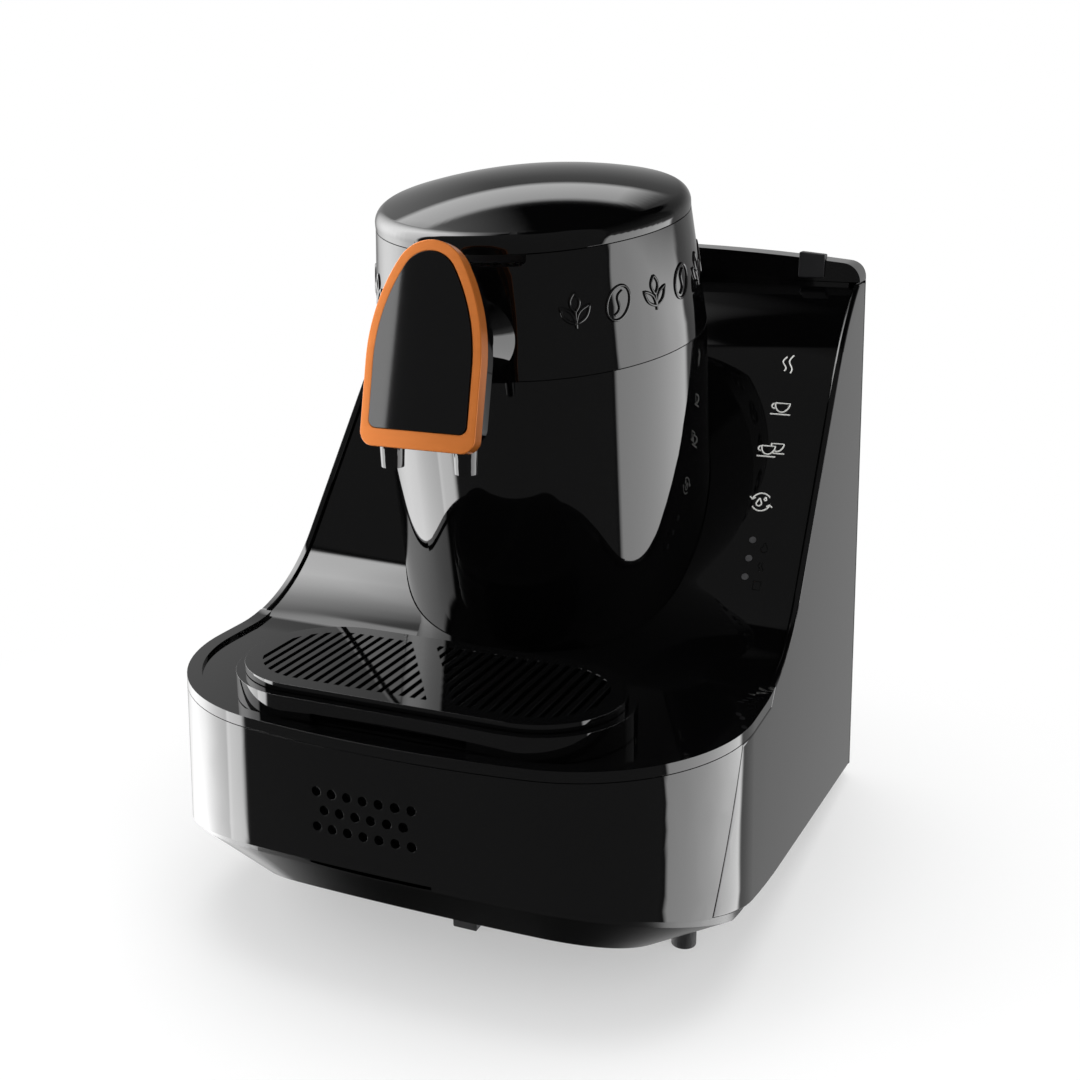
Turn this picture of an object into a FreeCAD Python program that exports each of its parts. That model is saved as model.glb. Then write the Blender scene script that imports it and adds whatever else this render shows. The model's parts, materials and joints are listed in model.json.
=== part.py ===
import FreeCAD, Part
import math
import os
import Sketcher
from FreeCAD import Placement, Rotation, Vector

# An electric turkish coffee maker, in millimetres. +Z is up, the front faces -Y, and the
# origin is on the table under the middle of the machine.

doc = FreeCAD.newDocument("turkish_coffee_maker")
sheet = doc.addObject("Spreadsheet::Sheet", "sizes")
nodes = []


# Driving sizes. Each size holds its value and the formula that the document binds to.

class Size:
    def __init__(self, value, formula):
        self.value = float(value)
        self.formula = formula

    def __add__(self, other):
        other = as_size(other)
        return Size(self.value + other.value, f"({self.formula} + {other.formula})")

    def __radd__(self, other):
        return as_size(other) + self

    def __sub__(self, other):
        other = as_size(other)
        return Size(self.value - other.value, f"({self.formula} - {other.formula})")

    def __rsub__(self, other):
        return as_size(other) - self

    def __mul__(self, other):
        other = as_size(other)
        return Size(self.value * other.value, f"({self.formula} * {other.formula})")

    def __rmul__(self, other):
        return as_size(other) * self

    def __truediv__(self, other):
        other = as_size(other)
        return Size(self.value / other.value, f"({self.formula} / {other.formula})")

    def __neg__(self):
        return Size(-self.value, f"(0 - {self.formula})")


def as_size(number):
    if isinstance(number, Size):
        return number
    return Size(number, f"({number})")


def size(name, value):
    row = len(sheet_names) + 1
    sheet_names.append(name)
    sheet.set(f"A{row}", name)
    sheet.set(f"B{row}", str(value))
    sheet.setAlias(f"B{row}", name)
    return Size(value, f"sizes.{name}")


def sine(angle):
    return Size(math.sin(math.radians(angle.value)), f"sin({angle.formula})")


def cosine(angle):
    return Size(math.cos(math.radians(angle.value)), f"cos({angle.formula})")


def tangent(angle):
    return Size(math.tan(math.radians(angle.value)), f"tan({angle.formula})")


def root(square):
    return Size(math.sqrt(square.value), f"sqrt({square.formula})")


sheet_names = []

# Housing
total_depth = size("total_depth", 286.8)
base_half_width = size("base_half_width", 123.5)
side_draft = size("side_draft", 1.72)
bow_radius = size("bow_radius", 426)
corner_radius = size("corner_radius", 76)
rear_corner_radius = size("rear_corner_radius", 12)
shell_wall = size("shell_wall", 3)
seam_gap = size("seam_gap", 0.3)

# Hem of the skirt, a curve that drops to the rear
hem_front_height = size("hem_front_height", 61.2)
hem_radius = size("hem_radius", 466)
hem_front_angle = size("hem_front_angle", 22.8)
hem_rear_angle = size("hem_rear_angle", 7.15)

# Underside of the base pan
pan_start_height = size("pan_start_height", 55)
pan_start_setback = size("pan_start_setback", 3.6)
pan_nose_radius = size("pan_nose_radius", 47.5)
pan_nose_angle = size("pan_nose_angle", 64)
pan_keel_angle = size("pan_keel_angle", 28.3)
pan_floor_height = size("pan_floor_height", 8)
pan_wall = size("pan_wall", 2.5)
pan_overlap = size("pan_overlap", 8)
pan_side_angle = size("pan_side_angle", 32)
pan_flank_angle = size("pan_flank_angle", 27.5)
pan_flank_tilt = size("pan_flank_tilt", 21)
pan_flank_drop = size("pan_flank_drop", 0.6)
pan_flank_depth = size("pan_flank_depth", 34)

half_depth = total_depth / 2

# Deck and swept back panel
rim_height = size("rim_height", 112.5)
rim_seam_height = size("rim_seam_height", 108)
rim_band = size("rim_band", 6)
rim_rear = size("rim_rear", -40)
sweep_start = size("sweep_start", -50)
sweep_radius = size("sweep_radius", 75)
sweep_angle = size("sweep_angle", 51)
sweep_end = size("sweep_end", 72)
crest_radius = size("crest_radius", 150)
cover_drop = size("cover_drop", 1.5)
cover_wall = size("cover_wall", 2.5)

# Seam between the skirt and the side panels, a plane that leans
corner_seam_y = size("corner_seam_y", -79)
corner_seam_lean = size("corner_seam_lean", 16.5)

# Rear: tank bay, tank and rear cover
bay_depth = size("bay_depth", 26.4)
rear_seam_depth = size("rear_seam_depth", 12.4)
bay_front = half_depth - bay_depth
rear_seam = half_depth - rear_seam_depth
tank_foot = size("tank_foot", 68)
tank_top = size("tank_top", 257)
tank_wall = size("tank_wall", 2.2)
tank_margin = size("tank_margin", 13)
tank_half_width = base_half_width - tank_margin
tank_slack = size("tank_slack", 0.4)
tank_lid_crown = size("tank_lid_crown", 271.6)
tank_lid_edge = size("tank_lid_edge", 264.2)
tank_lid_corner = size("tank_lid_corner", 9)
tank_lid_wall = size("tank_lid_wall", 2.4)
form_height = tank_lid_crown + shell_wall

# Leaning barrel: heights are along its axis, from the seam under the lid
barrel_y = size("barrel_y", 3.2)
barrel_z = size("barrel_z", 292.1)
barrel_lean = size("barrel_lean", 10.75)
barrel_radius = size("barrel_radius", 70.7)
barrel_wall = size("barrel_wall", 2.5)
barrel_length = size("barrel_length", 205)
collar_top_radius = size("collar_top_radius", 65.4)
collar_height = size("collar_height", 48.2)
lid_rise = size("lid_rise", 16)
lid_crown_radius = size("lid_crown_radius", 230)
lid_shoulder = size("lid_shoulder", 6)
notch_half_width = size("notch_half_width", 23)
notch_depth = size("notch_depth", 4.3)

# Brewing parts inside the barrel
pot_radius = size("pot_radius", 46)
pot_wall = size("pot_wall", 1.2)
pot_depth = size("pot_depth", 58)
pot_flange_radius = size("pot_flange_radius", 59)
pot_flange_drop = size("pot_flange_drop", 4.8)
ledge_wall = size("ledge_wall", 2)
heater_gap = size("heater_gap", 0.2)
heater_radius = size("heater_radius", 42)
heater_wall = size("heater_wall", 2)
heater_ring_radius = size("heater_ring_radius", 31)
heater_tube_radius = size("heater_tube_radius", 3)
chassis_drop = size("chassis_drop", 76)
chassis_wall = size("chassis_wall", 2)
motor_radius = size("motor_radius", 15)
motor_length = size("motor_length", 26)
shaft_radius = size("shaft_radius", 2)
shaft_clearance = size("shaft_clearance", 0.05)
paddle_reach = size("paddle_reach", 17)
thermostat_radius = size("thermostat_radius", 7)
thermostat_offset = size("thermostat_offset", 18.5)
outlet_offset = size("outlet_offset", -30)
outlet_bore = size("outlet_bore", 3)

# Shield over the spouts, which leans the other way
shield_y = size("shield_y", -105.5)
shield_z = size("shield_z", 214)
shield_lean = size("shield_lean", 12.8)
shield_half_width = size("shield_half_width", 23.4)
shield_top = size("shield_top", 75.6)
shield_spring = size("shield_spring", 31)
shield_crown_radius = size("shield_crown_radius", 15)
shield_corner = size("shield_corner", 5.5)
shield_depth = size("shield_depth", 6)
panel_side_border = size("panel_side_border", 3.5)
panel_foot_border = size("panel_foot_border", 6.8)
panel_top_border = size("panel_top_border", 4)
panel_corner = size("panel_corner", 3)
panel_stand = size("panel_stand", 0.6)
spout_body_depth = size("spout_body_depth", 13)
spout_body_inset = size("spout_body_inset", 4)
nozzle_pitch = size("nozzle_pitch", 30.4)
nozzle_y = size("nozzle_y", -94.8)
nozzle_tip = size("nozzle_tip", 204.3)
nozzle_top = size("nozzle_top", 217.5)
nozzle_radius = size("nozzle_radius", 4.9)
plug_radius = size("plug_radius", 3)
nozzle_tip_radius = size("nozzle_tip_radius", 4.3)
nozzle_bore = size("nozzle_bore", 2.2)
neck_z = size("neck_z", 249.4)
neck_radius = size("neck_radius", 13)
neck_root_radius = size("neck_root_radius", 19.5)
neck_root_length = size("neck_root_length", 11)

# Cup plate and drip tray
plate_top = size("plate_top", 124.7)
plate_half_length = size("plate_half_length", 78.7)
plate_radius = size("plate_radius", 33.1)
plate_y = size("plate_y", -96.4)
plate_wall = size("plate_wall", 3)
slot_pitch = size("slot_pitch", 4.6)
slot_width = size("slot_width", 2.1)
slot_border = size("slot_border", 7)
slot_band_width = size("slot_band_width", 11)
slot_band_turn = size("slot_band_turn", 33)
tray_flange = size("tray_flange", 3.6)
tray_top = size("tray_top", 121.4)
tray_wall = size("tray_wall", 2)
tray_seat_gap = size("tray_seat_gap", 0.3)
recess_half_width = size("recess_half_width", 32.5)

# Speaker behind the front skirt
speaker_x = size("speaker_x", -5.7)
speaker_z = size("speaker_z", 82.6)
speaker_radius = size("speaker_radius", 23)
grille_pitch = size("grille_pitch", 6.68)
grille_row_pitch = size("grille_row_pitch", 7.1)
grille_hole_radius = size("grille_hole_radius", 1.95)

# Lamps of the control panel, on the sweep
lamp_margin = size("lamp_margin", 29.5)
lamp_x = base_half_width - lamp_margin
lamp_radius = size("lamp_radius", 1.5)
lamp_slack = size("lamp_slack", 0.1)

# Chassis plate and what stands on it
chassis_height = size("chassis_height", 42)
chassis_plate_wall = size("chassis_plate_wall", 1.5)
chassis_margin = size("chassis_margin", 19.5)
chassis_half_width = base_half_width - chassis_margin
chassis_front = size("chassis_front", -88)
post_radius = size("post_radius", 4)
post_margin = size("post_margin", 45.5)
post_x = base_half_width - post_margin
post_front_y = size("post_front_y", -62)
post_rear_setback = size("post_rear_setback", 33)
post_rear_y = bay_front - post_rear_setback
foot_margin = size("foot_margin", 33.5)
foot_x = base_half_width - foot_margin
front_foot_y = size("front_foot_y", -48.2)
rear_foot_setback = size("rear_foot_setback", 31.4)
rear_foot_y = half_depth - rear_foot_setback
foot_height = size("foot_height", 24)
front_foot_radius = size("front_foot_radius", 5.2)
rear_foot_radius = size("rear_foot_radius", 7.5)

reach = 2 * base_half_width
sheet_height = size("cutter_height", 420)


# Building blocks

def bind(item, name, length):
    length = as_size(length)
    setattr(item, name, length.value)
    item.setExpression(name, length.formula)


def place(item, x=0, y=0, z=0, axis=None, angle=0):
    x, y, z, angle = as_size(x), as_size(y), as_size(z), as_size(angle)
    turn = Rotation(axis or Vector(0, 0, 1), angle.value)
    item.Placement = Placement(Vector(x.value, y.value, z.value), turn)
    item.setExpression("Placement.Base.x", x.formula)
    item.setExpression("Placement.Base.y", y.formula)
    item.setExpression("Placement.Base.z", z.formula)
    return item


def on_barrel(item, offset=0, height=0):
    """Leans an item with the barrel, moved towards its rear and along its axis."""
    lean_sine, lean_cosine = sine(barrel_lean), cosine(barrel_lean)
    return place(item, 0, barrel_y + offset * lean_cosine - height * lean_sine,
                 barrel_z + offset * lean_sine + height * lean_cosine,
                 Vector(1, 0, 0), barrel_lean)


def barrel_rod(name, radius, offset, low, high):
    """A rod along the barrel's axis, between two heights on it."""
    item = doc.addObject("Part::Cylinder", name)
    bind(item, "Radius", radius)
    bind(item, "Height", as_size(high) - low)
    return on_barrel(item, offset, low)


def on_shield(item):
    return place(item, 0, shield_y, shield_z, Vector(1, 0, 0), -shield_lean)


def new_sketch(body, name, role, offset=0):
    sketch = body.newObject("Sketcher::SketchObject", name)
    plane = [feature for feature in body.Origin.OriginFeatures if feature.Role == role][0]
    sketch.AttachmentSupport = [(plane, "")]
    sketch.MapMode = "FlatFace"
    offset = as_size(offset)
    sketch.AttachmentOffset = Placement(Vector(0, 0, offset.value), Rotation())
    sketch.setExpression("AttachmentOffset.Base.z", offset.formula)
    return sketch


def hold(sketch, kind, geometry, point, length):
    length = as_size(length)
    if point is None:
        index = sketch.addConstraint(Sketcher.Constraint(kind, geometry, length.value))
    else:
        index = sketch.addConstraint(Sketcher.Constraint(kind, geometry, point, length.value))
    sketch.setExpression(f"Constraints[{index}]", length.formula)


def draw_path(sketch, corners, bends=None):
    """Closes a path through the corners; bends turns a side into an arc, with its centre
    to the left or to the right of the way from its first corner to the next."""
    bends = bends or {}
    corners = [(as_size(x), as_size(y)) for x, y in corners]
    points = [Vector(x.value, y.value, 0) for x, y in corners]
    ends = []
    first = sketch.GeometryCount
    for index, start in enumerate(points):
        stop = points[(index + 1) % len(points)]
        if index not in bends:
            sketch.addGeometry(Part.LineSegment(start, stop), False)
            ends.append((1, 2))
            continue
        radius, side = as_size(bends[index][0]), bends[index][1]
        across = stop - start
        rise = math.sqrt(max(radius.value ** 2 - (across.Length / 2) ** 2, 0))
        left = Vector(-across.y, across.x, 0).normalize()
        centre = (start + stop) / 2 + left * (rise if side == "left" else -rise)
        begin, finish = (start, stop) if side == "left" else (stop, start)
        angles = [math.atan2(point.y - centre.y, point.x - centre.x) for point in (begin, finish)]
        circle = Part.Circle(centre, Vector(0, 0, 1), radius.value)
        sketch.addGeometry(Part.ArcOfCircle(circle, *angles), False)
        ends.append((1, 2) if side == "left" else (2, 1))
    for index in range(len(points)):
        following = (index + 1) % len(points)
        join = (first + index, ends[index][1], first + following, ends[following][0])
        sketch.addConstraint(Sketcher.Constraint("Coincident", *join))
    for index, (x, y) in enumerate(corners):
        hold(sketch, "DistanceX", first + index, ends[index][0], x)
        hold(sketch, "DistanceY", first + index, ends[index][0], y)
        if index in bends:
            hold(sketch, "Radius", first + index, None, bends[index][0])


def draw_circle(sketch, x, y, radius):
    x, y, radius = as_size(x), as_size(y), as_size(radius)
    centre = Vector(x.value, y.value, 0)
    index = sketch.addGeometry(Part.Circle(centre, Vector(0, 0, 1), radius.value), False)
    hold(sketch, "DistanceX", index, 3, x)
    hold(sketch, "DistanceY", index, 3, y)
    hold(sketch, "Radius", index, None, radius)


def add_pad(body, sketch, length, draft=None, symmetric=False, downwards=False):
    feature = body.newObject("PartDesign::Pad", sketch.Name + "_pad")
    feature.Profile = sketch
    feature.SideType = "Symmetric" if symmetric else "One side"
    feature.Reversed = downwards
    bind(feature, "Length", length)
    if draft is not None:
        bind(feature, "TaperAngle", draft)
    return feature


def padded(name, role, paths, length, offset=0, draft=None, symmetric=False, downwards=False):
    """A body padded from one or more closed paths, each a list of corners and its bends."""
    body = doc.addObject("PartDesign::Body", name)
    sketch = new_sketch(body, name + "_sketch", role, offset)
    for path in paths:
        draw_path(sketch, *path)
    add_pad(body, sketch, length, draft, symmetric, downwards)
    return body


def turned(name, corners, bends=None):
    """A body of revolution about Z, from a path of radii and heights."""
    body = doc.addObject("PartDesign::Body", name)
    sketch = new_sketch(body, name + "_sketch", "XZ_Plane")
    draw_path(sketch, corners, bends)
    feature = body.newObject("PartDesign::Revolution", name + "_turn")
    feature.Profile = sketch
    feature.ReferenceAxis = (sketch, ["V_Axis"])
    feature.Angle = 360
    return body


def tube_corners(inner, outer, low, high):
    return [(inner, low), (outer, low), (outer, high), (inner, high)]


def block(name, x, y, z):
    """A box between two values on each axis."""
    item = doc.addObject("Part::Box", name)
    x, y, z = [(as_size(low), as_size(high)) for low, high in (x, y, z)]
    bind(item, "Length", x[1] - x[0])
    bind(item, "Width", y[1] - y[0])
    bind(item, "Height", z[1] - z[0])
    return place(item, x[0], y[0], z[0])


def rod(name, radius, x, y, low, high):
    item = doc.addObject("Part::Cylinder", name)
    bind(item, "Radius", radius)
    bind(item, "Height", as_size(high) - low)
    return place(item, x, y, low)


def rod_along_y(name, radius, x, front, rear, z):
    item = doc.addObject("Part::Cylinder", name)
    bind(item, "Radius", radius)
    bind(item, "Height", as_size(rear) - front)
    return place(item, x, front, z, Vector(1, 0, 0), -90)


def rod_along_x(name, radius, low, high, y, z):
    item = doc.addObject("Part::Cylinder", name)
    bind(item, "Radius", radius)
    bind(item, "Height", as_size(high) - low)
    return place(item, low, y, z, Vector(0, 1, 0), 90)


def fuse(name, *items):
    result = doc.addObject("Part::MultiFuse", name)
    result.Shapes = list(items)
    result.Refine = True
    return result


def cut(name, base, *tools):
    result = doc.addObject("Part::Cut", name)
    result.Base = base
    result.Tool = tools[0] if len(tools) == 1 else fuse(name + "_tools", *tools)
    return result


def common(name, base, tool):
    result = doc.addObject("Part::Common", name)
    result.Base = base
    result.Tool = tool
    return result


def node(name, item):
    item.Label = name
    nodes.append(item)
    return item


# Housing forms

hem_turn_y = -half_depth + hem_radius * (sine(hem_front_angle) - sine(hem_rear_angle))
hem_turn_z = hem_front_height - hem_radius * (cosine(hem_rear_angle) - cosine(hem_front_angle))
hem_rear_height = hem_turn_z - (half_depth - hem_turn_y) * tangent(hem_rear_angle)
front_reach = half_depth + hem_front_height * tangent(side_draft)
rear_reach = half_depth + hem_rear_height * tangent(side_draft)


def form_path(inset):
    """Plan outline of the machine at table level, moved inwards."""
    width = base_half_width - inset
    bow = bow_radius - inset
    corner = corner_radius - inset
    rear_corner = rear_corner_radius - inset
    bow_y = -front_reach + bow_radius
    corner_x = width - corner
    corner_y = bow_y - root((bow - corner) * (bow - corner) - corner_x * corner_x)
    join_x = corner_x * bow / (bow - corner)
    join_y = bow_y + (corner_y - bow_y) * bow / (bow - corner)
    rear_y = rear_reach - inset
    corners = [
        (-join_x, join_y), (join_x, join_y), (width, corner_y), (width, rear_y - rear_corner),
        (width - rear_corner, rear_y), (-(width - rear_corner), rear_y),
        (-width, rear_y - rear_corner), (-width, corner_y),
    ]
    bends = {0: (bow, "left"), 1: (corner, "left"), 3: (rear_corner, "left"),
             5: (rear_corner, "left"), 7: (corner, "left")}
    return corners, bends


def form(name, inset):
    return padded(name, "XY_Plane", [form_path(inset)], form_height, draft=-side_draft)


def side_region(name, corners, bends=None):
    """A block wider than the machine, with an outline drawn in the side view."""
    return padded(name, "YZ_Plane", [(corners, bends)], 2 * reach, symmetric=True)


def hem_path(rise):
    """Everything below the hem, or below a line at some height over it."""
    far = total_depth
    rear_z = hem_turn_z - (far - hem_turn_y) * tangent(hem_rear_angle)
    front_z = hem_front_height + (far - half_depth) * tangent(hem_front_angle)
    corners = [
        (-far, -reach), (far, -reach), (far, rear_z + rise), (hem_turn_y, hem_turn_z + rise),
        (-half_depth, hem_front_height + rise), (-far, front_z + rise),
    ]
    return corners, {3: (hem_radius, "right")}


def sweep_corners(drop):
    """Side view of the deck and back panel, from the front to the crest, moved inwards."""
    climb_y = sweep_start + (sweep_radius + drop) * sine(sweep_angle)
    climb_z = rim_height + sweep_radius - (sweep_radius + drop) * cosine(sweep_angle)
    crest_y = sweep_end + drop * sine(sweep_angle)
    sweep_foot_z = rim_height + sweep_radius - sweep_radius * cosine(sweep_angle)
    sweep_foot_y = sweep_start + sweep_radius * sine(sweep_angle)
    end_z = sweep_foot_z + (sweep_end - sweep_foot_y) * tangent(sweep_angle)
    crest_z = end_z - drop * cosine(sweep_angle)
    centre_y = sweep_end + crest_radius * sine(sweep_angle)
    centre_z = end_z - crest_radius * cosine(sweep_angle)
    crest = crest_radius - drop
    span = centre_y - bay_front
    top_z = centre_z + root(crest * crest - span * span)
    return [(-total_depth, rim_height - drop), (sweep_start, rim_height - drop),
            (climb_y, climb_z), (crest_y, crest_z), (bay_front, top_z)]


def on_sweep(item, x, y, drop):
    """Puts an item square to the climbing part of the sweep, some way below its surface."""
    climb_y, climb_z = sweep_corners(as_size(0))[2]
    height = climb_z + (y - climb_y) * tangent(sweep_angle)
    return place(item, x, y + drop * sine(sweep_angle), height - drop * cosine(sweep_angle),
                 Vector(1, 0, 0), sweep_angle)


def above_sweep(name, drop):
    corners = sweep_corners(drop)
    top = corners[-1][1]
    corners += [(total_depth, top), (total_depth, sheet_height), (-total_depth, sheet_height)]
    bends = {1: (sweep_radius + drop, "left"), 3: (crest_radius - drop, "right")}
    return side_region(name, corners, bends)


def sweep_band(name, drop, wall):
    outer = sweep_corners(drop)
    inner = sweep_corners(drop + wall)
    corners = inner + outer[::-1]
    bends = {
        1: (sweep_radius + drop + wall, "left"), 3: (crest_radius - drop - wall, "right"),
        5: (crest_radius - drop, "left"), 7: (sweep_radius + drop, "right"),
    }
    return side_region(name, corners, bends)


def front_region(name, gap):
    low, high = -reach, sheet_height
    slope = tangent(corner_seam_lean)
    low_y = corner_seam_y + (low - rim_seam_height) * slope + gap
    high_y = corner_seam_y + (high - rim_seam_height) * slope + gap
    far = total_depth
    return side_region(name, [(-far, low), (low_y, low), (high_y, high), (-far, high)])


def rim_region(name, gap):
    step = rim_height - rim_seam_height + 3
    low = rim_seam_height + gap
    far = total_depth
    corners = [(-far, low), (rim_rear - gap, low), (rim_rear - gap + step, low + step),
               (-far, low + step)]
    return side_region(name, corners)


outer_form = form("outer_form", as_size(0))
shell_void = form("shell_void", shell_wall)
below_hem = side_region("below_hem", *hem_path(as_size(0)))
above_wing = above_sweep("above_wing", as_size(0))
shell = cut("shell", outer_form, shell_void)
far = total_depth


# Front skirt with its speaker holes

def front_skirt():
    rows = ((-1, 7), (0, 6), (1, 7))
    body = doc.addObject("PartDesign::Body", "grille_pins")
    sketch = new_sketch(body, "grille_sketch", "XZ_Plane")
    for row, count in rows:
        for column in range(count):
            x = speaker_x + grille_pitch * (column - (count - 1) / 2)
            draw_circle(sketch, x, speaker_z + grille_row_pitch * row, grille_hole_radius)
    add_pad(body, sketch, total_depth)
    wrap = common("skirt_wrap", shell, front_region("skirt_region", as_size(0)))
    over = block("over_skirt", (-reach, reach), (-far, far), (rim_seam_height, sheet_height))
    return node("front_skirt", cut("front_skirt", wrap, below_hem, over, body))


# Side panels, which carry the wing edge, and the rear cover below the tank

def side_panels():
    ahead = front_region("side_start", seam_gap)
    behind = block("side_end", (-reach, reach), (rear_seam, far), (-reach, sheet_height))
    rim = rim_region("rim_seat", as_size(0))
    sides = cut("sides", shell, ahead, behind, rim, above_wing, below_hem)
    for name, span in (("side_panel_left", (-reach, 0)), ("side_panel_right", (0, reach))):
        half = block(name + "_half", span, (-far, far), (-reach, sheet_height))
        node(name, common(name, sides, half))


def rear_cover():
    region = block("rear_cover_region", (-reach, reach), (rear_seam + seam_gap, far),
                   (-reach, tank_foot - seam_gap))
    slots = [block(f"vent_{index}", (vent_x - vent_width / 2, vent_x + vent_width / 2),
                   (rear_seam + shell_wall, far), (vent_low, vent_high))
             for index, vent_x in enumerate(vent_places)]
    inlet_hole = block("inlet_hole", (inlet_x - inlet_width / 2, inlet_x + inlet_width / 2),
                       (rear_seam, far), (inlet_z - inlet_height / 2, inlet_z + inlet_height / 2))
    switch_hole = block("switch_hole", (switch_x - switch_width / 2, switch_x + switch_width / 2),
                        (rear_seam, far),
                        (switch_z - switch_height / 2, switch_z + switch_height / 2))
    cover = common("rear_cover_wrap", shell, region)
    return node("rear_cover", cut("rear_cover", cover, below_hem, inlet_hole, switch_hole, *slots))


vent_width = size("vent_width", 2.4)
vent_pitch = size("vent_pitch", 6)
vent_low = size("vent_low", 26)
vent_high = size("vent_high", 54)
vent_places = [vent_pitch * (index - 4) for index in range(9)]
inlet_margin = size("inlet_margin", 61.5)
inlet_x = inlet_margin - base_half_width
inlet_z = size("inlet_z", 36)
inlet_width = size("inlet_width", 27)
inlet_height = size("inlet_height", 19)
switch_margin = size("switch_margin", 61.5)
switch_x = base_half_width - switch_margin
switch_z = size("switch_z", 38)
switch_width = size("switch_width", 21)
switch_height = size("switch_height", 15)


# Deck and back panel in one sweep, with the raised rim round the deck

def lamp_places():
    """Depths of the three lamps, on the climbing part of the sweep."""
    return [lamp_first_y - lamp_pitch * cosine(sweep_angle) * index for index in range(3)]


lamp_first_y = size("lamp_first_y", 21.9)
lamp_pitch = size("lamp_pitch", 8.6)


def top_cover():
    inside = form("cover_form", shell_wall + seam_gap / 2)
    panel = common("cover_sweep", inside, sweep_band("cover_band", cover_drop, cover_wall))
    rim_void = form("rim_void", rim_band)
    ring = cut("rim_ring", outer_form, rim_void)
    rim = common("rim_strip", ring, rim_region("rim_band_region", seam_gap))
    rim = cut("rim", rim, above_wing)
    holes = [barrel_rod("barrel_hole", barrel_radius + seam_gap, 0, -sheet_height, 0)]
    for index, y in enumerate(lamp_places()):
        hole = rod(f"lamp_hole_{index}", lamp_radius + lamp_slack, 0, 0, 0, 4 * cover_wall)
        holes.append(on_sweep(hole, lamp_x, y, cover_drop + 2 * cover_wall))
    both = fuse("cover_and_rim", panel, rim)
    return node("top_cover", cut("top_cover", both, *holes))


# Base pan, a dish whose underside curves up to the front and to the sides

pan_start_y = -half_depth + pan_start_setback
pan_nose_y = pan_start_y + pan_nose_radius * (sine(pan_nose_angle) - sine(pan_keel_angle))
pan_nose_z = pan_start_height - pan_nose_radius * (cosine(pan_keel_angle) - cosine(pan_nose_angle))
pan_keel_radius = (pan_nose_z - pan_floor_height) / (1 - cosine(pan_keel_angle))
pan_keel_y = pan_nose_y + pan_keel_radius * sine(pan_keel_angle)


def pan_height(y, rise=0):
    """Height of the long curve of the underside at a given depth."""
    radius = pan_keel_radius - rise
    span = pan_keel_y - y
    return pan_floor_height + pan_keel_radius - root(radius * radius - span * span)


def above_pan(name, rise):
    nose_radius = pan_nose_radius - rise
    keel_radius = pan_keel_radius - rise
    centre_y = pan_start_y + pan_nose_radius * sine(pan_nose_angle)
    centre_z = pan_start_height + pan_nose_radius * cosine(pan_nose_angle)
    start = (centre_y - nose_radius * sine(pan_nose_angle),
             centre_z - nose_radius * cosine(pan_nose_angle))
    nose = (centre_y - nose_radius * sine(pan_keel_angle),
            centre_z - nose_radius * cosine(pan_keel_angle))
    keel = (pan_keel_y, pan_floor_height + rise)
    corners = [start, nose, keel, (far, pan_floor_height + rise), (far, sheet_height),
               (-far, sheet_height), (-far, start[1] + (start[0] + far) * tangent(pan_nose_angle))]
    return side_region(name, corners, {0: (nose_radius, "left"), 1: (keel_radius, "left")})


def pan_side_cut(name, rise):
    """Wedges below the sloping sides of the dish, which run parallel to the hem."""
    slope = tangent(pan_side_angle)
    lift = rise / cosine(pan_side_angle)
    edge = base_half_width - shell_wall
    paths = []
    for side in (1, -1):
        corners = [(side * 2 * edge, slope * edge + lift), (0, lift - slope * edge),
                   (0, -2 * edge), (side * 2 * edge, -2 * edge)]
        paths.append((corners, None))
    right, left = [padded(f"{name}_{side}", "XZ_Plane", [path], 4 * reach, symmetric=True)
                   for side, path in zip(("right", "left"), paths)]
    for wedge in (right, left):
        place(wedge, 0, hem_turn_y, hem_turn_z, Vector(1, 0, 0), -hem_rear_angle)
    return right, left


def pan_flank_cut(name, rise):
    """What lies below the flanks of the dish, which taper in from the plan and lean with the hem."""
    inset = shell_wall + seam_gap + rise / sine(pan_flank_angle)
    corners, bends = form_path(inset)
    width, square_y = corners[2]
    corners = corners[:3] + [(width, total_depth), (-width, total_depth), (-width, square_y)]
    bends = {0: bends[0], 1: bends[1], 5: bends[7]}
    flank = padded(name + "_flank", "XY_Plane", [(corners, bends)], pan_flank_depth,
                   draft=pan_flank_angle - 90, downwards=True)
    slab = padded(name + "_slab", "XY_Plane", [(
        [(-reach, -reach), (reach, -reach), (reach, reach), (-reach, reach)], None)],
        pan_flank_depth, downwards=True)
    low = cut(name, slab, flank)
    pivot_z = hem_front_height - pan_flank_drop
    return place(low, 0, -front_reach * (1 - cosine(pan_flank_tilt)),
                 pivot_z - front_reach * sine(pan_flank_tilt), Vector(1, 0, 0), -pan_flank_tilt)


def base_pan():
    outer = common("pan_outer_form", form("pan_form", shell_wall + seam_gap),
                   above_pan("pan_outer_region", as_size(0)))
    over = cut("pan_outer_low", common("pan_below_lip", outer,
                                       side_region("pan_lip", *hem_path(pan_overlap))),
               *pan_side_cut("pan_outer_cut", as_size(0)), pan_flank_cut("pan_outer_below", as_size(0)))
    inner = common("pan_inner_form", form("pan_void", shell_wall + seam_gap + pan_wall),
                   above_pan("pan_inner_region", pan_wall))
    inner = cut("pan_inner", inner, *pan_side_cut("pan_inner_cut", pan_wall),
                pan_flank_cut("pan_inner_below", pan_wall))
    dish = cut("pan_dish", over, inner)
    posts = []
    for x in (-post_x, post_x):
        for name, y in (("front", post_front_y), ("rear", post_rear_y)):
            side = "left" if x.value < 0 else "right"
            low = pan_height(y) if name == "front" else pan_floor_height
            posts.append(rod(f"post_{name}_{side}", post_radius, x, y,
                             low + pan_wall / 2 + 1, chassis_height))
    notch = block("pan_speaker_notch", (speaker_x - speaker_radius - 3, speaker_x + speaker_radius + 3),
                  (-far, -half_depth + speaker_radius), (speaker_z - speaker_radius - 2, sheet_height))
    node("base_pan", cut("base_pan", fuse("pan_with_posts", dish, *posts), notch))
    return over


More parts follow.
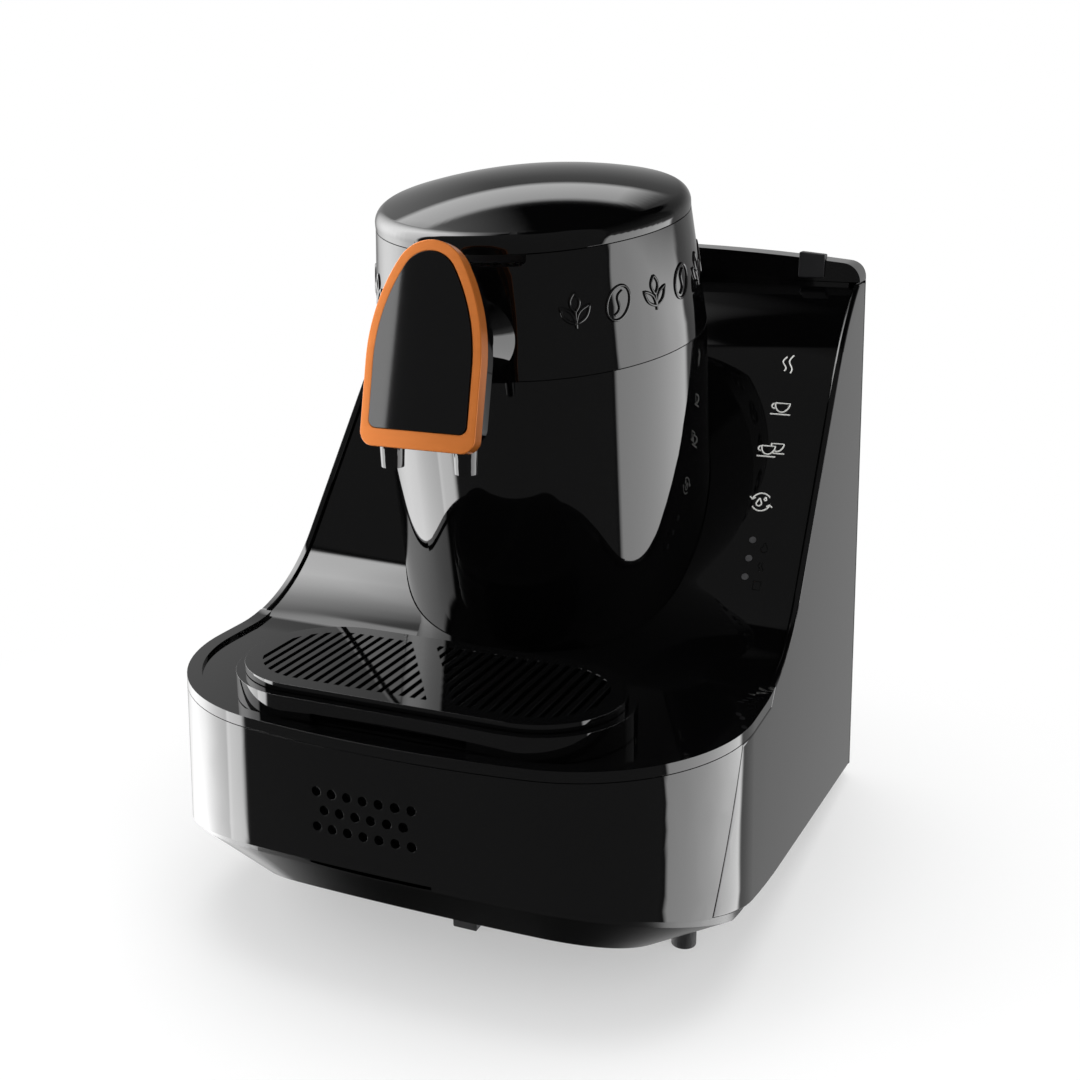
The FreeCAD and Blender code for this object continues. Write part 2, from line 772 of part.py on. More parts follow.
def feet(pan):
    """Feet that end on the underside of the pan."""
    sides = (-foot_x, foot_x)
    fronts = [rod(f"front_foot_{index}", front_foot_radius, x, front_foot_y, 0, foot_height)
              for index, x in enumerate(sides)]
    node("front_feet", cut("front_feet", fuse("front_foot_rods", *fronts), pan))
    tab = block("tab_block", (tab_foot_x - tab_foot_half, tab_foot_x + tab_foot_half),
                (tab_foot_y - tab_foot_half, tab_foot_y + tab_foot_half), (0, foot_height))
    node("front_tab_foot", cut("front_tab_foot", tab, pan))
    rears = [rod(f"rear_foot_{index}", rear_foot_radius, x, rear_foot_y, 0, pan_floor_height)
             for index, x in enumerate(sides)]
    node("rear_feet", fuse("rear_feet", *rears))


tab_foot_x = size("tab_foot_x", 1.6)
tab_foot_y = size("tab_foot_y", -69.4)
tab_foot_half = size("tab_foot_half", 5.6)


# Leaning barrel: body, collar, lid and hinge

def collar_radius_at(drop):
    return collar_top_radius + (barrel_radius - collar_top_radius) * drop / collar_height


def barrel_body():
    inner = barrel_radius - barrel_wall
    lip = inner - 1
    lip_top = -collar_height + 6
    lip_foot = -collar_height - 6
    shelf = -chassis_drop - chassis_wall - seam_gap
    corners = [
        (inner, -barrel_length), (barrel_radius, -barrel_length),
        (barrel_radius, -collar_height - seam_gap / 2), (inner - 0.2, -collar_height - seam_gap / 2),
        (lip - 0.8, -collar_height - seam_gap / 2 + 0.4), (lip - 0.8, lip_top),
        (lip - 2.8, lip_top), (lip - 2.8, lip_foot), (inner, lip_foot - 3),
        (inner, shelf), (inner - 6, shelf), (inner - 6, shelf - 3), (inner, shelf - 6),
    ]
    ring = on_barrel(turned("barrel_ring", corners))
    keep = above_sweep("barrel_foot_region", cover_drop + cover_wall + 4)
    return node("barrel_body", common("barrel_body", ring, keep))


def barrel_collar():
    low = -collar_height + seam_gap / 2
    high = -seam_gap / 2
    ledge = -pot_flange_drop - pot_wall - seam_gap / 2
    corners = [
        (barrel_radius - barrel_wall, low), (barrel_radius, low), (collar_top_radius, high),
        (collar_top_radius - barrel_wall, high), (collar_radius_at(-ledge) - barrel_wall, ledge),
        (pot_radius + pot_wall + 1, ledge), (pot_radius + pot_wall + 1, ledge - ledge_wall),
        (collar_radius_at(-ledge + ledge_wall) - barrel_wall, ledge - ledge_wall),
    ]
    ring = on_barrel(turned("collar_ring", corners))
    low_x = notch_half_width - notch_corner
    notch_corners = [(-low_x, -notch_depth), (low_x, -notch_depth),
                     (notch_half_width, notch_corner - notch_depth), (notch_half_width, notch_depth),
                     (-notch_half_width, notch_depth), (-notch_half_width, notch_corner - notch_depth)]
    notch_bends = {1: (notch_corner, "left"), 5: (notch_corner, "left")}
    notch = on_barrel(padded("collar_notch", "XZ_Plane", [(notch_corners, notch_bends)],
                             barrel_radius, offset=-notch_back))
    passage = rod_along_y("collar_passage", outlet_tube_radius + 1, 0, 2 * shield_y, barrel_y, neck_z)
    ears = [on_barrel(padded(f"ear_{name}", "YZ_Plane", [ear_path()], ear_width, offset=start))
            for name, start in (("left", -hinge_half_span), ("right", hinge_half_span - ear_width))]
    bore = on_barrel_x("collar_hinge_bore", hinge_pin_radius, 2 * hinge_half_span)
    solid = fuse("collar_with_ears", ring, *ears)
    return node("barrel_collar", cut("barrel_collar", solid, notch, passage, bore))


def on_barrel_x(name, radius, length):
    """A rod along X at the lid's hinge line."""
    body = doc.addObject("PartDesign::Body", name)
    sketch = new_sketch(body, name + "_sketch", "YZ_Plane")
    draw_circle(sketch, hinge_y, hinge_rise, radius)
    add_pad(body, sketch, length, symmetric=True)
    return on_barrel(body)


notch_back = -(collar_top_radius - barrel_wall) + 8
notch_corner = size("notch_corner", 3)
hinge_y = size("hinge_y", 69.6)
hinge_rise = size("hinge_rise", 1.2)
hinge_pin_radius = size("hinge_pin_radius", 1.5)
hinge_half_span = size("hinge_half_span", 17)
hinge_barrel_radius = size("hinge_barrel_radius", 3.2)
ear_width = size("ear_width", 6)
ear_drop = size("ear_drop", 12)
outlet_tube_radius = size("outlet_tube_radius", 4)


def ear_path():
    """Side view of a hinge ear, from the collar's wall out to the hinge line."""
    round_r = hinge_barrel_radius
    wall_y = collar_top_radius - barrel_wall / 2
    corners = [(wall_y, -ear_drop), (wall_y + 1.4, -ear_drop), (hinge_y + round_r, hinge_rise),
               (hinge_y, hinge_rise + round_r), (hinge_y - round_r, hinge_rise),
               (hinge_y - round_r, -seam_gap), (wall_y, -seam_gap)]
    return corners, {2: (round_r, "left"), 3: (round_r, "left")}


def brew_lid():
    wall = barrel_wall
    edge = collar_top_radius
    foot = seam_gap / 2
    shoulder_x = edge - lid_shoulder
    centre_z = lid_rise - lid_crown_radius
    reach_r = lid_crown_radius - lid_shoulder
    shoulder_z = centre_z + root(reach_r * reach_r - shoulder_x * shoulder_x)
    crown_x = shoulder_x * lid_crown_radius / reach_r
    crown_z = centre_z + (shoulder_z - centre_z) * lid_crown_radius / reach_r
    inner_crown = lid_crown_radius - wall
    inner_x = crown_x * inner_crown / lid_crown_radius
    inner_z = centre_z + (crown_z - centre_z) * inner_crown / lid_crown_radius
    corners = [
        (edge - wall, foot), (edge, foot), (edge, shoulder_z), (crown_x, crown_z), (0, lid_rise),
        (0, lid_rise - wall), (inner_x, inner_z), (edge - wall, shoulder_z),
    ]
    bends = {2: (lid_shoulder, "left"), 3: (lid_crown_radius, "left"), 5: (inner_crown, "right"),
             6: (lid_shoulder - wall, "right")}
    dome = on_barrel(turned("lid_dome", corners, bends))
    width = hinge_half_span - ear_width - seam_gap
    round_r = hinge_barrel_radius
    knuckle_foot = foot + seam_gap
    knuckle_corners = [(edge - wall, knuckle_foot), (hinge_y - round_r, knuckle_foot),
                       (hinge_y - round_r, hinge_rise), (hinge_y, hinge_rise - round_r),
                       (hinge_y + round_r, hinge_rise), (hinge_y, hinge_rise + round_r),
                       (edge - wall, hinge_rise + round_r)]
    knuckle_bends = {2: (round_r, "left"), 3: (round_r, "left"), 4: (round_r, "left")}
    knuckle = on_barrel(padded("lid_knuckle", "YZ_Plane", [(knuckle_corners, knuckle_bends)],
                               2 * width, symmetric=True))
    bore = on_barrel_x("lid_hinge_bore", hinge_pin_radius + shaft_clearance, 2 * hinge_half_span)
    node("brew_lid", cut("brew_lid", fuse("lid_with_knuckle", dome, knuckle), bore))
    node("lid_hinge_pin", on_barrel_x("lid_hinge_pin", hinge_pin_radius, 2 * hinge_half_span - 0.4))
    liner = edge - wall - seam_gap
    node("lid_liner", on_barrel(turned("lid_liner", [
        (0, 1.6), (0, -1), (liner - 6, -1), (liner - 6, foot), (liner, foot), (liner, 1.6)])))
    node("lid_seal", on_barrel(turned("lid_seal", tube_corners(
        pot_radius + 3, pot_flange_radius, -pot_flange_drop + 0.2, -1))))


# Brewing parts: pot, heater, thermostat, chassis, motor, shaft and paddle

def brewing_parts():
    flange_z = -pot_flange_drop
    outer = pot_radius + pot_wall
    floor = -pot_depth
    pot = turned("pot_cup", [
        (shaft_radius + shaft_clearance, floor - pot_wall), (outer, floor - pot_wall),
        (outer, flange_z - pot_wall), (pot_flange_radius, flange_z - pot_wall),
        (pot_flange_radius, flange_z), (pot_radius, flange_z), (pot_radius, floor),
        (shaft_radius + shaft_clearance, floor)])
    drain = rod("pot_drain", outlet_bore, 0, outlet_offset, floor - 2 * pot_wall, floor + pot_wall)
    node("brew_pot", on_barrel(cut("brew_pot", pot, drain)))

    plate_top_z = floor - pot_wall - heater_gap
    plate_low_z = plate_top_z - heater_wall
    hub = shaft_radius + 5
    plate = turned("heater_disc", tube_corners(hub, heater_radius, plate_low_z, plate_top_z))
    ring = doc.addObject("Part::Torus", "heater_ring")
    bind(ring, "Radius1", heater_ring_radius)
    bind(ring, "Radius2", heater_tube_radius)
    place(ring, 0, 0, plate_low_z - heater_tube_radius + 0.8)
    window = rod("heater_window", outlet_tube_radius + 1.4, 0, outlet_offset,
                 plate_low_z - 3 * heater_tube_radius, plate_top_z + heater_gap)
    node("heater_plate", on_barrel(cut("heater_plate", fuse("heater_both", plate, ring), window)))
    node("thermostat", barrel_rod("thermostat", thermostat_radius, thermostat_offset,
                                  plate_low_z - thermostat_height, plate_low_z - 0.2))

    top_z = -chassis_drop
    disc = turned("chassis_disc", tube_corners(
        motor_hub_radius + 0.2, barrel_radius - barrel_wall - seam_gap, top_z - chassis_wall, top_z))
    legs = []
    for index in range(3):
        angle = math.radians(120 * index + 90)
        legs.append(rod(f"chassis_leg_{index}", 3, leg_ring * math.cos(angle),
                        leg_ring * math.sin(angle), top_z - chassis_wall / 2, plate_low_z - 0.1))
    opening = rod("chassis_opening", valve_radius + 1.5, 0, outlet_offset,
                  top_z - 2 * chassis_wall, top_z + chassis_wall)
    passage = rod("chassis_passage", outlet_tube_radius + 1.5, 0, tube_offset,
                  top_z - 2 * chassis_wall, top_z + chassis_wall)
    chassis = cut("brew_chassis", fuse("chassis_solid", disc, *legs), opening, passage)
    node("brew_chassis", on_barrel(chassis))

    motor = turned("motor_solid", [
        (0, top_z - chassis_wall - motor_length), (motor_radius, top_z - chassis_wall - motor_length),
        (motor_radius, top_z - chassis_wall - 0.1), (motor_hub_radius, top_z - chassis_wall - 0.1),
        (motor_hub_radius, top_z + 2), (shaft_radius + shaft_clearance, top_z + 2),
        (shaft_radius + shaft_clearance, top_z - 8), (0, top_z - 8)])
    node("stirrer_motor", on_barrel(motor))
    node("stirrer_shaft", barrel_rod("stirrer_shaft", shaft_radius, 0, top_z - 7.5, floor + 10))
    hub_ring = turned("paddle_hub", tube_corners(shaft_radius - 0.05, 4, floor + 1, floor + 9.5))
    blade = block("paddle_blade", (-paddle_reach, paddle_reach), (-0.8, 0.8), (floor + 1, floor + 7))
    shaft_room = rod("paddle_room", shaft_radius + 0.01, 0, 0, floor, floor + 12)
    node("stirrer_paddle", on_barrel(cut("stirrer_paddle", fuse("paddle_solid", hub_ring, blade),
                                         shaft_room)))

    valve_low = floor - pot_wall - valve_length
    valve = turned("valve_can", tube_corners(outlet_bore, valve_radius, valve_low,
                                             floor - pot_wall - 0.2))
    node("outlet_valve", on_barrel(valve, outlet_offset))


thermostat_height = size("thermostat_height", 7)
motor_hub_radius = size("motor_hub_radius", 5)
leg_ring = size("leg_ring", 38)
valve_radius = size("valve_radius", 5)
valve_length = size("valve_length", 34)
tube_offset = size("tube_offset", -56)


# Shield: copper frame, panel, spout body, neck and nozzles

def arch_path(half_width, foot, top, corner, crown):
    """An arch-topped outline: straight sides, then two arcs that meet in a tighter crown."""
    rise = top - shield_spring
    side = half_width * half_width + (rise - crown) * (rise - crown) - crown * crown
    side = side / (2 * (half_width - crown))
    meet_x = (half_width - side) * (-crown) / (side - crown)
    meet_z = shield_spring + (rise - crown) * side / (side - crown)
    corners = [
        (-(half_width - corner), foot), (half_width - corner, foot), (half_width, foot + corner),
        (half_width, shield_spring), (meet_x, meet_z), (-meet_x, meet_z),
        (-half_width, shield_spring), (-half_width, foot + corner),
    ]
    bends = {1: (corner, "left"), 3: (side, "left"), 4: (crown, "left"), 5: (side, "left"),
             7: (corner, "left")}
    return corners, bends


def shield_plate(name, front, depth, border, foot_border, top_border, corner):
    """A plate of the shield, from a depth behind its face and away from the front."""
    path = arch_path(shield_half_width - border, as_size(foot_border), shield_top - top_border,
                     corner, shield_crown_radius - border)
    front, depth = as_size(front), as_size(depth)
    return on_shield(padded(name, "XZ_Plane", [path], depth, offset=-(front + depth)))


def shield_parts():
    zero = as_size(0)
    outline = shield_plate("frame_outline", zero, shield_depth, zero, zero, zero, shield_corner)
    window = shield_plate("frame_window", -1, shield_depth + 2, panel_side_border,
                          panel_foot_border, panel_top_border, panel_corner)
    node("spout_frame", cut("spout_frame", outline, window))
    slack = 0.15
    panel = shield_plate("spout_panel", -panel_stand, shield_depth + panel_stand,
                         panel_side_border + slack, panel_foot_border + slack,
                         panel_top_border + slack, panel_corner)
    node("spout_panel", panel)
    body = shield_plate("spout_body_plate", shield_depth + 0.1, spout_body_depth,
                        spout_body_inset, spout_body_inset, spout_body_inset, shield_corner)
    sockets = [rod(f"nozzle_socket_{index}", plug_radius + 0.1, x, nozzle_y,
                   nozzle_tip, nozzle_top + 1.3) for index, x in enumerate((-nozzle_x, nozzle_x))]
    joint = rod_along_y("neck_socket", outlet_tube_radius + 0.3, 0, nozzle_y + 2, barrel_y, neck_z)
    node("spout_body", cut("spout_body", body, joint, *sockets))

    for name, x in (("nozzle_left", -nozzle_x), ("nozzle_right", nozzle_x)):
        solid = turned(name + "_turned", [
            (nozzle_bore, nozzle_tip), (nozzle_tip_radius, nozzle_tip),
            (nozzle_radius, nozzle_top), (nozzle_bore, nozzle_top)])
        place(solid, x, nozzle_y, 0)
        room = [shield_plate(name + "_body_room", shield_depth, spout_body_depth + 0.3,
                             *[spout_body_inset - 0.2] * 3, shield_corner),
                shield_plate(name + "_frame_room", -1, shield_depth + 1.2, *[zero] * 3,
                             shield_corner)]
        outside = cut(name + "_outside", solid, *room)
        plug = turned(name + "_plug", tube_corners(nozzle_bore, plug_radius,
                                                   nozzle_tip + 6, nozzle_top + 1))
        node(name, fuse(name, outside, place(plug, x, nozzle_y, 0)))

    neck_rear = rod_along_y("neck_rod", neck_radius, 0, nozzle_y, barrel_y, neck_z)
    flare = doc.addObject("Part::Cone", "neck_flare")
    bind(flare, "Radius1", neck_radius)
    bind(flare, "Radius2", neck_root_radius)
    bind(flare, "Height", neck_root_length)
    place(flare, 0, neck_flare_y - neck_root_length, neck_z, Vector(1, 0, 0), -90)
    collar_room = on_barrel(turned("collar_room", [
        (0, -collar_height - 40), (barrel_radius + 0.15, -collar_height - 40),
        (barrel_radius + 0.15, -collar_height), (collar_top_radius + 0.15, 0), (0, 0)]))
    body_room = shield_plate("neck_front_room", -20, shield_depth + 20.2 + spout_body_depth,
                             spout_body_inset, spout_body_inset, spout_body_inset, shield_corner)
    bore = rod_along_y("neck_bore", outlet_tube_radius + 0.3, 0, nozzle_y, barrel_y, neck_z)
    neck = cut("spout_neck", fuse("neck_solid", neck_rear, flare), collar_room, body_room, bore)
    node("spout_neck", neck)


nozzle_x = nozzle_pitch / 2
neck_flare_y = size("neck_flare_y", -54)


# Cup plate with its slots, and the drip tray under it

def stadium(name, grow, low, high):
    """A plate with round ends, larger than the cup plate by a margin."""
    half_length = plate_half_length + grow
    radius = plate_radius + grow
    straight = half_length - radius
    corners = [
        (-straight, plate_y - radius), (straight, plate_y - radius), (half_length, plate_y),
        (straight, plate_y + radius), (-straight, plate_y + radius), (-half_length, plate_y),
    ]
    bends = {1: (radius, "left"), 2: (radius, "left"), 4: (radius, "left"), 5: (radius, "left")}
    low, high = as_size(low), as_size(high)
    return padded(name, "XY_Plane", [(corners, bends)], high - low, offset=low)


def cup_plate():
    plate = stadium("plate_blank", as_size(0), plate_top - plate_wall, plate_top)
    field = stadium("slot_field", -slot_border, plate_top - 3 * plate_wall, plate_top + plate_wall)
    band = padded("slot_band_pad", "XY_Plane", [band_path()], sheet_height)
    comb = doc.addObject("PartDesign::Body", "slot_comb")
    sketch = new_sketch(comb, "slot_sketch", "XY_Plane", plate_top - 2 * plate_wall)
    start = -plate_half_length
    draw_path(sketch, [(start, 2 * plate_y), (start + slot_width, 2 * plate_y),
                       (start + slot_width, 0), (start, 0)])
    first = add_pad(comb, sketch, 4 * plate_wall)
    pattern = comb.newObject("PartDesign::LinearPattern", "slot_pattern")
    pattern.Originals = [first]
    pattern.Direction = (sketch, ["H_Axis"])
    count = int(2 * plate_half_length.value / slot_pitch.value)
    bind(pattern, "Length", slot_pitch * (count - 1))
    pattern.Occurrences = count
    comb.Tip = pattern
    zone = cut("slot_zone", field, band)
    node("cup_plate", cut("cup_plate", plate, common("plate_slots", comb, zone)))


def band_path():
    """Plain band between the two slotted zones, which leans across the plate."""
    half = slot_band_width / 2
    lean = plate_radius * tangent(slot_band_turn)
    low, high = plate_y - plate_radius, plate_y + plate_radius
    return [(lean - half, low), (lean + half, low), (half - lean, high), (-half - lean, high)], None


def drip_tray():
    low = rim_height - cover_drop + tray_seat_gap
    outer = stadium("tray_outer", tray_flange, low, tray_top)
    well = stadium("tray_well", -tray_wall, low + tray_wall, sheet_height)
    recess = block("tray_recess", (-recess_half_width, recess_half_width),
                   (-far, plate_y - plate_radius - tray_flange + 3), (low - 1, low + 5))
    node("drip_tray", cut("drip_tray", outer, well, recess))


# Tank bay, water tank, tank lid and valve

def bulkhead():
    wall = block("bulkhead_wall", (-tank_half_width - 1, tank_half_width + 1),
                 (bay_front - bulkhead_wall, bay_front), (bulkhead_foot, tank_top - 8))
    shelf = block("bulkhead_shelf", (-tank_half_width - 1, tank_half_width + 1),
                  (bay_front - bulkhead_wall, rear_seam + 5),
                  (tank_foot - seam_gap - bulkhead_wall, tank_foot - seam_gap))
    hole = rod("spigot_hole", spigot_radius + 0.1, 0, valve_y, 0, sheet_height)
    over = above_sweep("bulkhead_room", cover_drop + cover_wall + seam_gap)
    window = block("bulkhead_window", (-34, 34), (0, far), (bulkhead_foot + 6, bulkhead_foot + 12))
    solid = fuse("bulkhead_solid", wall, shelf)
    hose_hole = rod_along_y("bulkhead_hose_hole", hose_radius + 1, pump_x, 0, rear_seam, pump_z)
    node("tank_bulkhead", cut("tank_bulkhead", solid, hole, over, window, hose_hole))
    foot = tank_foot - spigot_length
    spigot = turned("spigot", [
        (nipple_radius - 0.8, foot), (nipple_radius, foot), (nipple_radius, foot + hose_overlap),
        (spigot_radius, foot + hose_overlap), (spigot_radius, tank_foot - seam_gap),
        (spigot_radius + 2.4, tank_foot - seam_gap), (spigot_radius + 2.4, tank_foot + 1.6),
        (nipple_radius - 0.8, tank_foot + 1.6)])
    node("tank_spigot", place(spigot, 0, valve_y, 0))


bulkhead_wall = size("bulkhead_wall", 2.5)
bulkhead_foot = size("bulkhead_foot", 43.7)
spigot_radius = size("spigot_radius", 4)
valve_setback = size("valve_setback", 3.5)
valve_y = rear_seam - valve_setback


def water_tank():
    box_front = bay_front + tank_slack
    box = block("tank_box", (-tank_half_width, tank_half_width),
                (box_front, rear_seam + 1), (tank_foot, tank_top))
    plate_region = block("tank_rear_region", (-reach, reach), (rear_seam + seam_gap, far),
                         (tank_foot, tank_top))
    rear = common("tank_rear", outer_form, plate_region)
    room = common("tank_room", form("tank_void", tank_wall), block(
        "tank_inner", (-tank_half_width + tank_wall, tank_half_width - tank_wall),
        (box_front + tank_wall, far), (tank_foot + floor_wall, sheet_height)))
    seat = rod("tank_valve_hole", valve_stem_radius + 0.3, 0, valve_y, 0, sheet_height)
    dock = rod("tank_dock", spigot_radius + 2.4 + 0.3, 0, valve_y, 0, tank_foot + 1.9)
    bosses = tank_lugs()
    solid = fuse("tank_solid", box, rear, *bosses)
    bore = rod_along_x("tank_pin_bore", lid_pin_radius, -far, far, lid_pin_y, lid_pin_z)
    node("water_tank", cut("water_tank", solid, room, seat, dock, bore))


floor_wall = size("floor_wall", 4)
valve_stem_radius = size("valve_stem_radius", 1.8)
lid_pin_radius = size("lid_pin_radius", 1.2)
lid_pin_setback = size("lid_pin_setback", 4.8)
lid_pin_y = half_depth - lid_pin_setback
lid_pin_z = size("lid_pin_z", 258.6)
lug_radius = size("lug_radius", 2.8)
lug_margin = size("lug_margin", 40.5)
lug_x = tank_half_width - lug_margin
lug_width = size("lug_width", 8)
tab_margin = size("tab_margin", 23.5)
tab_low_x = tank_half_width - tab_margin
tab_width = size("tab_width", 12)
tab_stand = size("tab_stand", 2.6)


def lug(name, centre_x, *webs):
    """A hinge lug round the tank lid's pin line, with webs to the wall that carries it."""
    low = as_size(centre_x) - lug_width / 2
    ring = rod_along_x(name + "_ring", lug_radius, low, low + lug_width, lid_pin_y, lid_pin_z)
    parts = [block(f"{name}_web_{index}", (low, low + lug_width), y, z)
             for index, (y, z) in enumerate(webs)]
    return fuse(name, ring, *parts)


def tank_lugs():
    deep = ((rear_seam + 3, lid_pin_y), (tank_top - 12, tank_top - 0.2))
    high = ((lid_pin_y - lug_radius, lid_pin_y), (tank_top - 4, lid_pin_z))
    return [lug(f"tank_lug_{side}", x, deep, high)
            for side, x in (("left", -lug_x), ("right", lug_x))]


def tank_lid():
    low = tank_top + seam_gap
    half = base_half_width
    lid_end_x = half - tangent(side_draft) * low
    sagitta = tank_lid_crown - tank_lid_edge
    crown = (half * half + sagitta * sagitta) / (2 * sagitta)
    crown_centre = tank_lid_crown - crown

    def crown_region(name, drop):
        """Everything below the lid's long arc and its round ends, moved down by a drop."""
        bow = crown - drop
        corner = tank_lid_corner - drop
        side_x = lid_end_x - drop
        corner_x = side_x - corner
        corner_z = crown_centre + root((bow - corner) * (bow - corner) - corner_x * corner_x)
        meet_x = corner_x * bow / (bow - corner)
        meet_z = crown_centre + (corner_z - crown_centre) * bow / (bow - corner)
        corners = [(-side_x, low - tank_lid_corner), (side_x, low - tank_lid_corner),
                   (side_x, corner_z), (meet_x, meet_z), (-meet_x, meet_z), (-side_x, corner_z)]
        bends = {2: (corner, "left"), 3: (bow, "left"), 4: (corner, "left")}
        return padded(name, "XZ_Plane", [(corners, bends)], 4 * far, symmetric=True)

    front = bay_front + seam_gap
    top = block("lid_block", (-reach, reach), (front, far), (low, sheet_height))
    outer = common("lid_outer", common("lid_plan", outer_form, top),
                   crown_region("lid_crown", as_size(0)))
    inner_block = block("lid_inner_block", (-tank_half_width + 1, tank_half_width - 1),
                        (front + tank_lid_wall, far), (low - 1, sheet_height))
    inner = common("lid_inner", common("lid_inner_plan", form("lid_void", tank_lid_wall),
                                       inner_block), crown_region("lid_inner_crown", tank_lid_wall))
    knuckles = []
    for side, x in (("left", -(lug_x - lug_width - 0.4)), ("right", lug_x - lug_width - 0.4)):
        knuckles.append(lug(f"lid_lug_{side}", x, ((rear_seam + 3, lid_pin_y), (lid_pin_z, low + 2.6))))
    shell_lid = cut("lid_shell", outer, inner)
    rooms = [block(f"lid_room_{side}", (x - lug_width / 2 - 0.3, x + lug_width / 2 + 0.3),
                   (lid_pin_y - lug_radius - 0.4, far), (0, lid_pin_z + lug_radius + 0.4))
             for side, x in (("left", -lug_x), ("right", lug_x))]
    bore = rod_along_x("lid_pin_bore", lid_pin_radius + shaft_clearance, -far, far,
                       lid_pin_y, lid_pin_z)
    solid = cut("tank_lid_solid", shell_lid, *rooms)
    node("tank_lid", cut("tank_lid", fuse("tank_lid_fuse", solid, *knuckles), bore))
    tab = block("lid_tab_block", (tab_low_x, tab_low_x + tab_width), (front - 1.5, front + 5),
                (low + 1.4, tank_lid_crown + tab_stand))
    tab_top = crown_region("tab_crown", -tab_stand)
    node("lid_tab", cut("lid_tab", common("lid_tab_strap", tab, tab_top), outer))
    pin_half = lug_x + lug_width / 2
    node("tank_lid_pin", rod_along_x("tank_lid_pin", lid_pin_radius, -pin_half, pin_half,
                                     lid_pin_y, lid_pin_z))


def valve_parts():
    stem_low = tank_foot + 2.2
    cap_z = tank_foot + floor_wall
    plunger = turned("valve_plunger", [
        (0, stem_low), (valve_stem_radius, stem_low), (valve_stem_radius, cap_z + 0.1),
        (5.2, cap_z + 0.1), (5.2, cap_z + 2.1), (valve_stem_radius - 0.4, cap_z + 2.1),
        (valve_stem_radius - 0.4, cap_z + 9), (0, cap_z + 9)])
    node("valve_plunger", place(plunger, 0, valve_y, 0))
    cage = turned("valve_cage", [
        (valve_stem_radius - 0.2, cap_z + 13), (6, cap_z + 13), (6, cap_z + 0.2),
        (5.6, cap_z + 0.2), (5.6, cap_z + 12), (valve_stem_radius - 0.2, cap_z + 12)])
    node("valve_cage", place(cage, 0, valve_y, 0))
    low = cap_z.value + 2.1 + 0.1 + spring_wire.value
    high = cap_z.value + 12 - 0.1 - spring_wire.value
    turns = 4
    path = Part.makeHelix((high - low) / turns, high - low, spring_radius.value)
    section = Part.Circle(Vector(spring_radius.value, 0, 0), Vector(0, 1, 0), spring_wire.value)
    coil = Part.Wire(path).makePipeShell([Part.Wire(section.toShape())], True, True)
    spring = doc.addObject("Part::Feature", "valve_spring")
    spring.Shape = coil
    node("valve_spring", place(spring, 0, valve_y, low))


spring_radius = size("spring_radius", 4.2)
spring_wire = size("spring_wire", 0.35)


# Chassis plate, pump, hoses, boards, speaker, inlet and switch

def chassis_plate():
    low = chassis_height + 0.1
    high = chassis_height + chassis_plate_wall
    plate = block("chassis_blank", (-chassis_half_width, chassis_half_width),
                  (chassis_front, bay_front - 1), (low, high))
    slots = [rod(f"plate_opening_{index}", radius, x, y, 0, sheet_height)
             for index, (x, y, radius) in enumerate(((0, 30, 18), (0, -35, 10)))]
    node("chassis_plate", cut("chassis_plate", plate, *slots))


chassis_top = chassis_height + chassis_plate_wall
pump_x = size("pump_x", -55)
pump_setback = size("pump_setback", 55)
pump_y = bay_front - pump_setback
pump_radius = size("pump_radius", 15)
pump_length = size("pump_length", 58)
pump_z = size("pump_z", 60)
hose_radius = size("hose_radius", 3.2)
hose_wall = size("hose_wall", 1)
hose_overlap = size("hose_overlap", 8)
spigot_length = size("spigot_length", 12)
nipple_radius = hose_radius - hose_wall - 0.05


def pump_parts():
    front = pump_y - pump_length / 2
    rear = pump_y + pump_length / 2
    can = rod_along_y("pump_can", pump_radius, pump_x, front, rear, pump_z)
    inlet = rod_along_y("pump_inlet", nipple_radius, pump_x, rear - 1, rear + 9, pump_z)
    outlet = rod_along_y("pump_outlet", nipple_radius, pump_x, front - 9, front + 1, pump_z)
    node("water_pump", fuse("water_pump", can, inlet, outlet))
    gap = 0.1
    saddle = block("pump_saddle", (pump_x - pump_radius, pump_x + pump_radius),
                   (pump_y - 12, pump_y + 12), (chassis_top + gap, pump_z))
    room = rod_along_y("pump_saddle_room", pump_radius + gap, pump_x, front, rear, pump_z)
    node("pump_bracket", cut("pump_bracket", saddle, room))


def tube(name, points, radius, bend, bore=0.0):
    """A hose through straight runs joined by tangent arcs."""
    edges = []
    start = points[0]
    for index in range(1, len(points) - 1):
        before = (points[index - 1] - points[index]).normalize()
        after = (points[index + 1] - points[index]).normalize()
        half = before.getAngle(after) / 2
        trim = bend / math.tan(half)
        entry = points[index] + before * trim
        leave = points[index] + after * trim
        bisector = (before + after).normalize()
        middle = points[index] + bisector * (bend / math.sin(half) - bend)
        edges.append(Part.LineSegment(start, entry).toShape())
        edges.append(Part.Arc(entry, middle, leave).toShape())
        start = leave
    edges.append(Part.LineSegment(start, points[-1]).toShape())
    path = Part.Wire(edges)
    heading = points[1] - points[0]
    solids = []
    for size_radius in ([radius, bore] if bore else [radius]):
        ring = Part.Wire(Part.Circle(points[0], heading, size_radius).toShape())
        solids.append(path.makePipeShell([ring], True, False))
    shape = solids[0].cut(solids[1]) if bore else solids[0]
    item = doc.addObject("Part::Feature", name)
    item.Shape = shape
    return item


